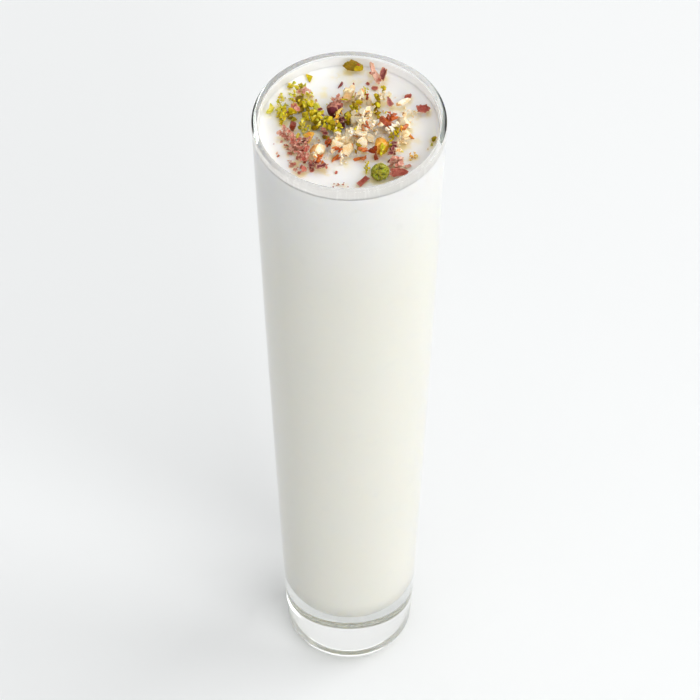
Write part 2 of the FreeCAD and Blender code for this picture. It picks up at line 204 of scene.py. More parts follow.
def in_scene(name: str, data: Any) -> Piece:
    """Put something new in the scene.

    Args:
        name: Its name.
        data: The mesh, lamp or camera it shows.

    Returns:
        The new object.
    """
    thing = bpy.data.objects.new(name, data)
    bpy.context.scene.collection.objects.link(thing)
    return thing


@contextmanager
def editing(piece: Piece) -> Iterator[None]:
    """Edit mode on one piece, all of it selected at the start.

    Args:
        piece: The piece.

    Yields:
        Nothing. Edit mode lasts as long as the block.
    """
    pick(piece)
    bpy.ops.object.mode_set(mode="EDIT")
    bpy.ops.mesh.select_mode(type="VERT")
    bpy.ops.mesh.select_all(action="SELECT")
    yield
    bpy.ops.object.mode_set(mode="OBJECT")


def apply_all(piece: Piece) -> None:
    """Apply every modifier of a piece, in order.

    Args:
        piece: The piece.
    """
    pick(piece)
    for modifier in list(piece.modifiers):
        bpy.ops.object.modifier_apply(modifier=modifier.name)


def thicken(piece: Piece, thickness: float) -> None:
    """Give a sheet its thickness.

    Args:
        piece: The sheet.
        thickness: Its thickness, in the mesh's own units.
    """
    wall = piece.modifiers.new("thickness", "SOLIDIFY")
    wall.thickness, wall.offset, wall.use_even_offset = thickness, 0.0, True
    apply_all(piece)


def roughen(piece: Piece, grain: float, strength: float, depth: int = 2) -> None:
    """Push a mesh in and out by a cloud pattern.

    Args:
        piece: The mesh.
        grain: Size of the pattern in metres.
        strength: How far it moves the surface, in metres.
        depth: How many finer layers the pattern has.
    """
    clouds = bpy.data.textures.new(piece.name + "_clouds", "CLOUDS")
    clouds.noise_scale, clouds.noise_depth = grain, depth
    push = piece.modifiers.new("grain", "DISPLACE")
    push.texture, push.strength, push.texture_coords = clouds, strength, "LOCAL"
    apply_all(piece)


def smooth(piece: Piece, angle: float = 180.0) -> None:
    """Shade a piece smooth, with edges sharper than the angle left crisp."""
    pick(piece)
    bpy.ops.object.shade_smooth_by_angle(angle=math.radians(angle))


def select_faces(piece: Piece, wanted: Callable[[bpy.types.MeshPolygon], bool]) -> None:
    """Select the faces for which a test holds. Called in edit mode.

    Args:
        piece: The piece in edit mode.
        wanted: The test, given a face.
    """
    bpy.ops.object.mode_set(mode="OBJECT")
    mesh = piece.data
    for part in (mesh.vertices, mesh.edges):
        part.foreach_set("select", [False] * len(part))
    mesh.polygons.foreach_set("select", [bool(wanted(face)) for face in mesh.polygons])
    bpy.ops.object.mode_set(mode="EDIT")
    bpy.ops.mesh.select_mode(type="FACE")


def positions(piece: Piece) -> np.ndarray:
    """Every vertex of a piece, one row each.

    Args:
        piece: The piece.

    Returns:
        The places, in the mesh's own units.
    """
    flat = np.empty(len(piece.data.vertices) * 3)
    piece.data.vertices.foreach_get("co", flat)
    return flat.reshape(-1, 3)


def move_to(piece: Piece, places: np.ndarray) -> None:
    """Put every vertex of a piece at a new place."""
    piece.data.vertices.foreach_set("co", places.reshape(-1))
    piece.data.update()


def fill_box(piece: Piece, places: np.ndarray, size: Sequence[float]) -> None:
    """Put every vertex at a new place, the whole centred and drawn out to a size."""
    low, high = places.min(0), places.max(0)
    move_to(piece, (places - (low + high) / 2) / (high - low) * np.array(size))


def write_attribute(piece: Piece, name: str, values: np.ndarray) -> None:
    """Store one number for each vertex under a name that the materials read.

    Args:
        piece: The piece.
        name: The name.
        values: One number for each vertex.
    """
    mesh = piece.data
    layer = mesh.attributes.get(name) or mesh.attributes.new(name, "FLOAT", "POINT")
    layer.data.foreach_set("value", np.asarray(values, dtype=np.float32))


def fit_out(piece: Piece, slot: str, material: Material,
            replaces: Sequence[str] = ()) -> None:
    """Finish a piece: its material, the body it rides on and what it stands for; its slot is only
    logged.

    Args:
        piece: The finished mesh, at the origin.
        slot: The name of its material slot, which is only logged.
        material: What it is made of.
        replaces: The CAD nodes it stands for.
    """
    piece.data.materials.clear()
    piece.data.materials.append(material)
    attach(piece, ROOT)
    if replaces:
        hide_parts(*replaces)
    LOG.info("%s: %d faces, slot %s", piece.name, len(piece.data.polygons), slot)


# ------------------------------------------------------------------ shader workbench

class Wire:
    """One output of a shader node that takes part in Python expressions."""

    def __init__(self, bench: "Bench", socket: bpy.types.NodeSocket) -> None:
        """Hold the socket and the tree it belongs to."""
        self.bench, self.socket = bench, socket

    def _sum(self, operation: str, first: "Value", second: "Value") -> "Wire":
        """A Math node on two values."""
        return self.bench.add("Math", {"operation": operation}, {0: first, 1: second})

    def __add__(self, other: "Value") -> "Wire":
        """self + other."""
        return self._sum("ADD", self, other)

    __radd__ = __add__

    def __sub__(self, other: "Value") -> "Wire":
        """self - other."""
        return self._sum("SUBTRACT", self, other)

    def __rsub__(self, other: "Value") -> "Wire":
        """other - self."""
        return self._sum("SUBTRACT", other, self)

    def __mul__(self, other: "Value") -> "Wire":
        """self * other."""
        return self._sum("MULTIPLY", self, other)

    __rmul__ = __mul__

    def at_most(self, other: "Value") -> "Wire":
        """The smaller of the two."""
        return self._sum("MINIMUM", self, other)

    def at_least(self, other: "Value") -> "Wire":
        """The greater of the two."""
        return self._sum("MAXIMUM", self, other)

    def beside(self, output: str) -> "Wire":
        """Another output of the same node."""
        return Wire(self.bench, self.socket.node.outputs[output])

    def between(self, low: float, high: float) -> "Wire":
        """0 at low, 1 at high, eased and held outside."""
        return self.bench.add("MapRange", {"interpolation_type": "SMOOTHSTEP"},
                              {"Value": self, "From Min": low, "From Max": high})


Value = Union[Wire, float, Colour]


class Bench:
    """The node tree of one material or of the world."""

    def __init__(self, owner: Any) -> None:
        """Start with an empty tree.

        Args:
            owner: The material or world.
        """
        owner.use_nodes = True
        self.owner, self.tree = owner, owner.node_tree
        self.tree.nodes.clear()

    @classmethod
    def material(cls, name: str) -> "Bench":
        """The bench of a new material."""
        return cls(bpy.data.materials.new(name))

    def add(self, kind: str, settings: dict[str, Any] | None = None,
            inputs: dict[Any, Any] | None = None, output: Any = 0) -> Wire:
        """Add any node.

        Args:
            kind: The node's type without its ShaderNode prefix.
            settings: Its own settings, and "stops" for a ramp's positions and colours.
            inputs: Values or wires for its sockets, by name or number.
            output: Which output to hand back.

        Returns:
            The wire of that output.
        """
        node = self.tree.nodes.new("ShaderNode" + kind)
        for name, setting in (settings or {}).items():
            if name == "stops":
                elements = node.color_ramp.elements
                while len(elements) < len(setting):
                    elements.new(1.0)
                for element, (position, colour) in zip(elements, setting):
                    element.position, element.color = position, colour
            else:
                setattr(node, name, setting)
        for name, value in (inputs or {}).items():
            if isinstance(value, Wire):
                self.tree.links.new(value.socket, node.inputs[name])
            else:
                node.inputs[name].default_value = value
        return Wire(self, node.outputs[output])

    def blend(self, factor: Value, first: Value, second: Value, how: str = "MIX") -> Wire:
        """Mix two colours."""
        return self.add("Mix", {"data_type": "RGBA", "blend_type": how},
                        {0: factor, 6: first, 7: second}, 2)

    def ramp(self, factor: Wire, *stops: tuple[float, Colour]) -> Wire:
        """Colours along a value."""
        return self.add("ValToRGB", {"stops": stops}, {0: factor})

    def attribute(self, name: str) -> Wire:
        """A number kept with the mesh."""
        return self.add("Attribute", {"attribute_name": name}, output="Fac")

    def place(self, stretch: Triple = (1, 1, 1)) -> Wire:
        """Object coordinates, stretched if wanted.

        Args:
            stretch: How much finer a pattern runs along each axis.

        Returns:
            The wire of the coordinates.
        """
        spot = self.add("TexCoord", output="Object")
        if stretch == (1, 1, 1):
            return spot
        return self.add("Mapping", {}, {"Vector": spot, "Scale": stretch})

    def cloud(self, size: float, detail: float = 3.0, rough: float = 0.55,
              stretch: Triple = (1, 1, 1)) -> Wire:
        """Noise whose patches are about size millimetres across."""
        return self.add("TexNoise", {}, {"Vector": self.place(stretch), "Scale": 1 / (size * MM),
                                         "Detail": detail, "Roughness": rough})

    def cells(self, size: float) -> Wire:
        """Cells about size millimetres across."""
        return self.add("TexVoronoi", {}, {"Vector": self.place(), "Scale": 1 / (size * MM)})

    def bump(self, height: Wire, depth: float) -> Wire:
        """A relief of depth millimetres."""
        return self.add("Bump", {}, {"Height": height, "Distance": depth * MM, "Strength": 1.0})

    def finish(self, shader: Wire, volume: Wire | None = None) -> Any:
        """Wire the output and hand back what the tree belongs to.

        Args:
            shader: The surface.
            volume: What fills it, if anything.

        Returns:
            The material or world.
        """
        kind = "World" if isinstance(self.owner, bpy.types.World) else "Material"
        node = self.tree.nodes.new("ShaderNodeOutput" + kind)
        self.tree.links.new(shader.socket, node.inputs["Surface"])
        if volume is not None:
            self.tree.links.new(volume.socket, node.inputs["Volume"])
        return self.owner


# ------------------------------------------------------------------ finishes

# Painted shade: the colour that darkens the pits of the fine relief on nuts and petals.
PAINTED_PIT_SHADE: Colour = (0.35, 0.30, 0.25, 1.0)


def shades(*stops: tuple[float, int, int, int]) -> Ramp:
    """Colours along a ramp, each given by its place and its red, green and blue."""
    return tuple((place, srgb(*colour)) for place, *colour in stops)


@dataclass(frozen=True)
class GlassFinish:
    """Clear soda glass, faintly grey-green through a long way of it."""

    refraction: float = 1.5
    tint: Colour = srgb(218, 226, 222)
    tint_per_metre: float = 4.0
    ripple_size: float = 16.0
    ripple_depth: float = 0.002

    def material(self) -> Material:
        """Build the material.

        Returns:
            The material.
        """
        bench = Bench.material("clear_glass")
        ripple = bench.cloud(self.ripple_size, detail=1.0, stretch=(1, 1, 0.35))
        shader = bench.add("BsdfPrincipled", {}, {
            "Base Color": (1, 1, 1, 1), "Roughness": 0.0, "IOR": self.refraction,
            "Transmission Weight": 1.0, "Normal": bench.bump(ripple, self.ripple_depth)})
        depth = bench.add("VolumeAbsorption", {},
                          {"Color": self.tint, "Density": self.tint_per_metre})
        return bench.finish(shader, depth)


@dataclass(frozen=True)
class LassiFinish:
    """Thin salted yogurt: off-white, whiter in the froth on top, stained by the nuts.

    The foot is painted shade, a darker, yellower colour where it meets the base of the glass.
    Heights are metres.
    """

    body: Colour = srgb(245, 244, 235)
    froth: Colour = srgb(247, 247, 245)
    saffron: Colour = srgb(243, 228, 176)
    shade: Colour = srgb(240, 240, 234)
    # Painted shade: the foot colour stands for the drink's underside seen in shadow through the
    # foot of the glass.
    foot: Colour = srgb(228, 225, 200)
    # The film's inside colour is painted light and its outside colour painted shade: one film in
    # lit and shaded copies.
    film_inside_painted_light: Colour = srgb(252, 252, 250)
    film_outside_painted_shade: Colour = srgb(230, 230, 224)
    film_streak: Colour = srgb(244, 245, 239)
    froth_low: float = 0.190
    froth_high: float = 0.243
    foot_shade_low: float = 0.0223
    foot_shade_high: float = 0.0238
    scatter_depth: float = 0.0022
    film_depth: float = 0.0012

    def material(self) -> Material:
        """Build the material.

        Returns:
            The material.
        """
        bench = Bench.material("salt_lassi")
        height = bench.add("SeparateXYZ", {}, {0: bench.place()}, "Z")
        drift = bench.cloud(24.0, detail=2.0)
        froth = (height + (drift - 0.5) * 0.02).between(self.froth_low, self.froth_high)
        colour = bench.blend(froth, self.body, self.froth)
        # Painted shade: the bottom of the drink takes the darker foot colour.
        colour = bench.blend(height.between(self.foot_shade_high, self.foot_shade_low) * 0.7, colour, self.foot)
        mottle = bench.cloud(5.0, detail=4.0).between(0.56, 0.8) * 0.5
        colour = bench.blend(mottle, colour, self.shade)
        stain = bench.attribute("stain") * bench.cloud(2.6, detail=3.0).between(0.3, 0.62)
        colour = bench.blend(stain, colour, self.saffron)
        grain = bench.cloud(0.7, detail=3.0) + bench.cells(1.1) * 0.4
        shader = bench.add("BsdfPrincipled", {}, {
            "Base Color": colour, "Roughness": 0.42, "Specular IOR Level": 0.35,
            "Subsurface Weight": 0.5, "Subsurface Radius": (1.0, 0.9, 0.7),
            "Subsurface Scale": self.scatter_depth,
            "Normal": bench.bump(grain, 0.02)})
        return bench.finish(shader)

    def film(self) -> Material:
        """Build the material of the film on the glass, which has run down in streaks.

        Returns:
            The material.
        """
        bench = Bench.material("lassi_film")
        streaks = bench.cloud(1.3, detail=2.0, stretch=(1, 1, 0.12)).between(0.52, 0.72)
        colour = bench.blend(streaks * 0.8, self.film_outside_painted_shade, self.film_streak)
        # Painted light and shade: the film's inner face takes the lighter colour, its outer face
        # the darker, streaked one.
        colour = bench.blend(bench.attribute("outside"), self.film_inside_painted_light, colour)
        shader = bench.add("BsdfPrincipled", {}, {
            "Base Color": colour, "Roughness": 0.4, "Subsurface Weight": 1.0,
            "Subsurface Radius": (1.0, 1.0, 1.0), "Subsurface Scale": self.film_depth})
        return bench.finish(shader)


@dataclass(frozen=True)
class ChoppedFinish:
    """A chopped nut or dried petal: flesh that varies from bit to bit, and its own skin.

    The mesh's "tone" picks a place along the flesh and skin colours for each bit, and
    its "skin" says how far a place is outer skin and not a cut face; on the kernel it
    says how far a place is ridge and not furrow, the darker furrows being painted shade.
    """

    name: str
    slot: str
    flesh: Ramp
    skin: Ramp
    skin_share: float = 1.0
    mottle: float = 0.22
    grain: float = 0.35
    relief: float = 0.05
    roughness: float = 0.45
    wet: float = 0.0
    shine: float = 0.2
    scatter: float = 0.15
    cast: Colour = (1.0, 1.0, 1.0, 1.0)
    cast_size: float = 1.5

    def material(self) -> Material:
        """Build the material.

        Returns:
            The material.
        """
        bench = Bench.material(self.name)
        tone = bench.attribute("tone")
        drift = bench.cloud(self.grain * 3, detail=3.0) - 0.5
        fine = bench.cloud(self.grain, detail=4.0, rough=0.65)
        place = tone + drift * self.mottle * 2 + (fine - 0.5) * self.mottle
        flesh = bench.ramp(place, *self.flesh)
        skin = bench.ramp(place, *self.skin)
        edge = bench.attribute("skin") + (fine - 0.5) * 0.9
        colour = bench.blend(edge.between(0.35, 0.65) * self.skin_share, flesh, skin)
        patch = bench.cloud(self.cast_size, detail=1.0).between(0.47, 0.57)
        colour = bench.blend(patch, colour, self.cast, "MULTIPLY")
        # Painted shade: the low places of the fine relief are darkened as if in shade.
        dark = bench.blend(fine.between(0.58, 0.30) * 0.3, colour, PAINTED_PIT_SHADE, "MULTIPLY")
        shader = bench.add("BsdfPrincipled", {}, {
            "Base Color": dark, "Roughness": fine * 0.3 + (self.roughness - 0.15),
            "Specular IOR Level": self.shine,
            "Coat Weight": self.wet, "Coat Roughness": 0.15,
            "Subsurface Weight": self.scatter, "Subsurface Radius": (1.0, 0.8, 0.4),
            "Subsurface Scale": 0.0006,
            "Normal": bench.bump(fine, self.relief)})
        return bench.finish(shader)


PISTACHIO = ChoppedFinish(
    "chopped_pistachio", "pistachio",
    flesh=shades((0.0, 118, 92, 4), (0.25, 182, 148, 4), (0.5, 214, 188, 10), (0.75, 228, 208, 52),
                 (1.0, 238, 228, 128)),
    skin=shades((0.0, 96, 52, 30), (0.4, 132, 92, 12), (0.7, 168, 146, 12), (1.0, 214, 196, 60)),
    skin_share=0.7, cast=srgb(226, 240, 176))
# On the kernel the flesh colours go in the furrows and the skin colours on the ridges: the darker
# furrows are painted shade.
KERNEL = ChoppedFinish(
    "pistachio_kernel", "pistachio",
    flesh=shades((0.0, 52, 54, 2), (0.4, 84, 84, 4), (0.7, 120, 116, 8), (1.0, 160, 156, 30)),
    skin=shades((0.0, 108, 100, 2), (0.5, 160, 152, 4), (1.0, 222, 212, 60)),
    mottle=0.6, grain=0.5, relief=0.2, roughness=0.3, wet=0.45, cast=srgb(228, 246, 170))
ALMOND = ChoppedFinish(
    "chopped_almond", "almond",
    flesh=shades((0.0, 238, 200, 146), (0.3, 245, 224, 182), (0.65, 250, 240, 214),
                 (1.0, 252, 248, 236)),
    skin=shades((0.0, 168, 84, 36), (0.4, 210, 132, 66), (0.7, 232, 180, 116),
                (1.0, 244, 218, 172)),
    mottle=0.16, scatter=0.3, cast=srgb(255, 240, 214))
HAZELNUT = ChoppedFinish(
    "hazelnut", "hazelnut",
    flesh=shades((0.0, 222, 172, 100), (0.4, 245, 226, 180), (1.0, 251, 243, 218)),
    skin=shades((0.0, 170, 96, 20), (0.5, 224, 176, 108), (1.0, 244, 220, 172)),
    skin_share=0.5, mottle=0.22, scatter=0.3)
GOLDEN = ChoppedFinish(
    "golden_nut", "golden_nut",
    flesh=shades((0.0, 150, 62, 6), (0.3, 216, 124, 10), (0.6, 240, 186, 36), (1.0, 250, 224, 130)),
    skin=shades((0.0, 84, 28, 8), (0.5, 176, 78, 8), (1.0, 226, 150, 30)),
    skin_share=0.5, mottle=0.34, wet=0.35, roughness=0.3, cast=srgb(255, 226, 150))
ALMOND_SKIN = ChoppedFinish(
    "almond_skin", "almond_skin",
    flesh=shades((0.0, 128, 44, 18), (0.4, 186, 82, 30), (0.8, 216, 118, 52), (1.0, 232, 158, 96)),
    skin=shades((0.0, 112, 38, 16), (0.5, 176, 74, 26), (1.0, 206, 110, 50)),
    mottle=0.3, wet=0.35, roughness=0.28)
ROSE = ChoppedFinish(
    "dried_rose_petal", "rose_petal",
    flesh=shades((0.0, 124, 46, 44), (0.3, 166, 84, 70), (0.6, 200, 120, 102),
                 (0.85, 226, 166, 146), (1.0, 240, 206, 186)),
    skin=shades((0.0, 150, 74, 64), (0.5, 208, 140, 118), (1.0, 238, 200, 172)),
    mottle=0.2, roughness=0.62, relief=0.06, cast=srgb(246, 218, 218))
BUD = ChoppedFinish(
    "rose_bud", "rose_bud",
    flesh=shades((0.0, 62, 16, 28), (0.45, 104, 34, 44), (0.8, 142, 66, 68), (1.0, 196, 132, 116)),
    skin=shades((0.0, 140, 72, 70), (0.5, 200, 136, 114), (1.0, 236, 196, 160)),
    skin_share=0.8, mottle=0.24, roughness=0.5, relief=0.08)
DARK_PETAL = replace(BUD, slot="rose_petal")
NUT_MIX = ChoppedFinish(
    "nut_mix", "nut_mix",
    flesh=shades((0.0, 222, 206, 130), (0.35, 243, 236, 204), (0.6, 248, 246, 238),
                 (1.0, 250, 250, 247)),
    skin=shades((0.0, 222, 206, 130), (1.0, 248, 246, 238)),
    mottle=0.4, relief=0.1, scatter=0.3)


# ------------------------------------------------------------------ glass and drink

def lathe(name: str, outline: list[Point], steps: int) -> Piece:
    """Turn an outline about the upright axis.

    Args:
        name: Name of the piece.
        outline: Radius and height of each point in millimetres; it starts and ends on
            the axis.
        steps: How many facets go round.

    Returns:
        The closed piece, its faces pointing outwards.
    """
    put_away()
    bpy.ops.mesh.primitive_plane_add(size=MM, location=(0, 0, 0))
    piece = named(name)
    with editing(piece):
        bpy.ops.mesh.merge(type="CENTER")
        bpy.ops.transform.translate(value=(outline[0][0] * MM, 0, outline[0][1] * MM))
        for before, after in zip(outline, outline[1:]):
            step = ((after[0] - before[0]) * MM, 0, (after[1] - before[1]) * MM)
            bpy.ops.mesh.extrude_vertices_move(TRANSFORM_OT_translate={"value": step})
        bpy.ops.mesh.select_all(action="SELECT")
        bpy.ops.mesh.spin(steps=steps, angle=2 * math.pi, center=(0, 0, 0), axis=(0, 0, 1))
        bpy.ops.mesh.select_all(action="SELECT")
        bpy.ops.mesh.remove_doubles(threshold=0.002 * MM)
        bpy.ops.mesh.normals_make_consistent(inside=False)
    smooth(piece)
    return piece


@dataclass
class TallGlass:
    """The glass: a thick clear foot, a thin wall that opens upwards, a fire-rounded rim."""

    rim_radius: float = 27.95
    height: float = 245.0
    wall: float = 1.7
    lip_round: float = 0.18
    wall_bulge: float = 0.25
    knee: Point = (22.3, 30.0)
    foot_radius: float = 21.25
    heel_radius: float = 5.0
    heel_turn: float = 87.6
    floor_height: float = 22.0
    floor_wall: float = 1.95
    floor_corner: float = 12.6
    ring_width: float = 1.8
    punt_slope: float = 5.0
    punt_depth: float = 0.5
    knurl_depth: float = 0.08
    knurl_gap: float = 0.09
    flat_down: float = -0.98
    flare_bulge: float = 0.08
    facets: int = 192
    wall_steps: int = 40
    shortest_step: float = 0.5
    corner_steps: int = 12
    floor_steps: int = 8
    lip_steps: int = 6
    finish: GlassFinish = field(default_factory=GlassFinish)

    @property
    def ring(self) -> Point:
        """Inner and outer radius of the ring on which the glass stands."""
        outer = self.foot_radius - self.heel_radius
        return outer - self.ring_width, outer

    @property
    def lip_height(self) -> float:
        """Height at which the rim starts to round over."""
        return self.height - self.lip_round

    def inner_wall(self, up_to: float) -> list[Point]:
        """Outline of the inside, from the floor's axis up the wall to a height.

        Args:
            up_to: The height, in millimetres.

        Returns:
            Radius and height of each point.
        """
        foot = self.knee[0] - self.floor_wall
        corner = (foot - self.floor_corner, self.floor_height + self.floor_corner)
        start = (foot, corner[1])
        mouth = (self.rim_radius - self.wall, self.lip_height)
        between = bowed(start, mouth, self.wall_bulge, self.wall_steps)
        wall = [point for point in (start, *between, mouth)
                if point[1] < up_to - self.shortest_step]
        floor = [(corner[0] * i / self.floor_steps, self.floor_height)
                 for i in range(self.floor_steps)]
        return floor + arc(corner, self.floor_corner, -90, 0, self.corner_steps)[:-1] + wall

    def wall_radius(self, height: float) -> float:
        """Inner radius at a height.

        Args:
            height: The height, in millimetres.

        Returns:
            The radius, in millimetres.
        """
        radii, heights = zip(*self.inner_wall(self.height)[self.floor_steps:])
        return float(np.interp(height, heights, radii))

    def outline(self) -> list[Point]:
        """The whole outline, from the axis under the foot round the rim to the floor.

        Returns:
            Radius and height of each point, in millimetres.
        """
        punt, ring = self.ring
        slope = [(punt - self.punt_slope * (1 - t),
                  self.punt_depth * (1 - t * t * (3 - 2 * t))) for t in (0, .2, .4, .6, .8, 1)]
        heel = arc((ring, self.heel_radius), self.heel_radius, -90, self.heel_turn - 90,
                   self.corner_steps)
        flare = bowed(heel[-1], self.knee, self.flare_bulge, 8)
        outer = bowed(self.knee, (self.rim_radius, self.lip_height), self.wall_bulge,
                      self.wall_steps)
        lip = (arc((self.rim_radius - self.lip_round, self.lip_height), self.lip_round,
                   0, 90, self.lip_steps)
               + arc((self.rim_radius - self.wall + self.lip_round, self.lip_height),
                     self.lip_round, 90, 180, self.lip_steps))
        inside = self.inner_wall(self.lip_height)
        under = [(0.0, self.punt_depth), *slope, ((punt + ring) / 2, 0.0)]
        return under + heel + flare + [self.knee] + outer + lip + inside[::-1]

    def build(self) -> Piece:
        """Turn the glass and press the knurled ring into the underside of its foot.

        Returns:
            The glass.
        """
        piece = lathe("tall_glass", self.outline(), self.facets)
        punt, ring = self.ring
        with editing(piece):
            select_faces(piece, lambda face: face.normal.z < self.flat_down and punt * MM
                         < math.hypot(face.center.x, face.center.y) < ring * MM)
            bpy.ops.mesh.inset(thickness=self.knurl_gap * MM, depth=-self.knurl_depth * MM,
                               use_individual=True)
        smooth(piece, 40)
        fit_out(piece, "glass", self.finish.material(), ("glass",))
        return piece


@dataclass
class Drink:
    """The lassi: it fills the glass to the wall, and its skin dips and clings at the edge."""

    glass: TallGlass
    level: float = 240.5
    into_wall: float = 0.12
    edge_width: float = 1.6
    edge_rise: float = 0.75
    edge_curve: float = 2.4
    film_thickness: float = 0.1
    film_above: float = 0.15
    film_below_rim: float = 0.45
    film_sag: float = 0.25
    facets: int = 192
    rings: int = 70
    swell: float = 0.16
    ripple: float = 0.05
    streak_height: float = 0.3
    stain_spread: int = 8
    stains: tuple[tuple[float, float, float, float], ...] = (
        (-3.4, 22.0, 1.6, 0.8), (1.8, 20.4, 2.2, 0.7), (-7.4, 14.6, 2.0, 0.7),
        (-7.0, 16.6, 1.2, 0.6), (18.0, 3.0, 2.6, 0.4), (19.0, -3.6, 1.6, 0.6),
        (14.5, 8.6, 2.0, 0.5), (-2.0, -12.8, 2.2, 0.6))
    finish: LassiFinish = field(default_factory=LassiFinish)

    def surface(self, x: float, y: float) -> float:
        """Height of the froth at a place, in millimetres, uneven as poured.

        Args:
            x: The place across, in millimetres.
            y: The place along, in millimetres.

        Returns:
            The height.
        """
        broad, small = wave(x * 0.09, y * 0.09, 3.1), wave(x * 0.35, y * 0.35, 7.7)
        return self.level + self.swell * broad + self.ripple * small

    def film(self) -> None:
        """Build the thin film that the drink has left on the wall up to the rim."""
        low, high = self.level + self.film_above, self.glass.height - self.film_below_rim
        heights = np.linspace(low, high, 12)
        wet = [(self.glass.wall_radius(z) + self.into_wall, z) for z in heights]
        face = [(self.glass.wall_radius(z) - self.film_thickness, z) for z in heights[::-1]]
        piece = lathe("lassi_film", wet + face + wet[:1], self.facets)
        places = positions(piece)
        for row in places:
            around = math.atan2(row[1], row[0])
            streak = noise.noise(Vector((math.cos(around), math.sin(around), 0)) * 2.6)
            share = (row[2] / MM - low) / (high - low)
            row[2] -= share * (self.film_sag + self.streak_height * streak) * MM
        outside = np.hypot(places[:, 0], places[:, 1]) / MM > np.array(
            [self.glass.wall_radius(z / MM) for z in places[:, 2]])
        move_to(piece, places)
        write_attribute(piece, "outside", outside)
        smooth(piece, 60)
        fit_out(piece, "lassi", self.finish.film())

    def build(self) -> Piece:
        """Turn the drink, then lay its surface and draw its edge up the wall.

        Returns:
            The drink, not yet given its finish.
        """
        edge = self.level + self.edge_rise
        radius = self.glass.wall_radius(self.level)
        floor = self.glass.floor_height + 1
        side = [(r + self.into_wall if r > 0 else 0.0, z - self.into_wall * (z < floor))
                for r, z in self.glass.inner_wall(self.level - 1)]
        crest = [(radius + self.into_wall, edge), (radius - 0.06, edge + 0.02)]
        dip = [(radius - self.edge_width * t,
                self.level + self.edge_rise * (1 - t) ** self.edge_curve)
               for t in (0.08, 0.2, 0.36, 0.56, 0.78, 1.0)]
        flat = [((radius - self.edge_width) * (1 - i / self.rings), self.level)
                for i in range(1, self.rings + 1)]
        piece = lathe("poured_lassi", side + crest + dip + flat, self.facets)
        places = positions(piece)
        for row in places:
            x, y, z = row / MM
            reach = math.hypot(x, y)
            if z < self.level - 0.01:
                continue
            share = min(1.0, max(0.0, (radius - reach) / self.edge_width))
            lift = (self.surface(x, y) - self.level) * share
            row[2] = (z + lift) * MM
        move_to(piece, places)
        smooth(piece, 60)
        return piece

    def stain(self, piece: Piece, bed: "Bed") -> None:
        """Mark where the toppings have coloured the drink around them.

        Args:
            piece: The drink.
            bed: What lies on it.
        """
        thick = np.clip(bed.height - self.level - 0.25, 0.0, 0.5) * 2
        for _ in range(self.stain_spread):
            padded = np.pad(thick, 1, mode="edge")
            thick = (padded[1:-1, 1:-1] * 2 + padded[:-2, 1:-1] + padded[2:, 1:-1]
                     + padded[1:-1, :-2] + padded[1:-1, 2:]) / 6
        places = positions(piece) / MM
        top = places[:, 2] > self.level - 1
        marks = thick[bed.spots(places)] * top
        for x, y, reach, depth in self.stains:
            away = np.hypot(places[:, 0] - x, places[:, 1] - y) / reach
            marks = np.maximum(marks, depth * np.exp(-away ** 2) * top)
        write_attribute(piece, "stain", marks)


# ------------------------------------------------------------------ shapes of the toppings

class Kind(Enum):
    """What a loose bit is made of: the name of its piece, and its finish."""

    PISTACHIO = ("chopped_pistachios", PISTACHIO)
    ALMOND = ("chopped_almonds", ALMOND)
    SKIN = ("almond_skins", ALMOND_SKIN)
    GOLDEN = ("golden_nut_bits", GOLDEN)
    ROSE = ("rose_petal_crumbs", ROSE)
    DARK_ROSE = ("dark_petal_scraps", DARK_PETAL)


class Form(Enum):
    """How a loose bit is cut: strokes of the knife, slab thickness and fineness."""

    CHIP = (6, 0.0, 2)
    CHUNK = (5, 0.0, 3)
    SLICE = (3, 0.30, 3)
    SLIVER = (4, 0.42, 2)
    CRUMB = (4, 0.0, 1)
    SCRAP = (0, 0.0, 0)


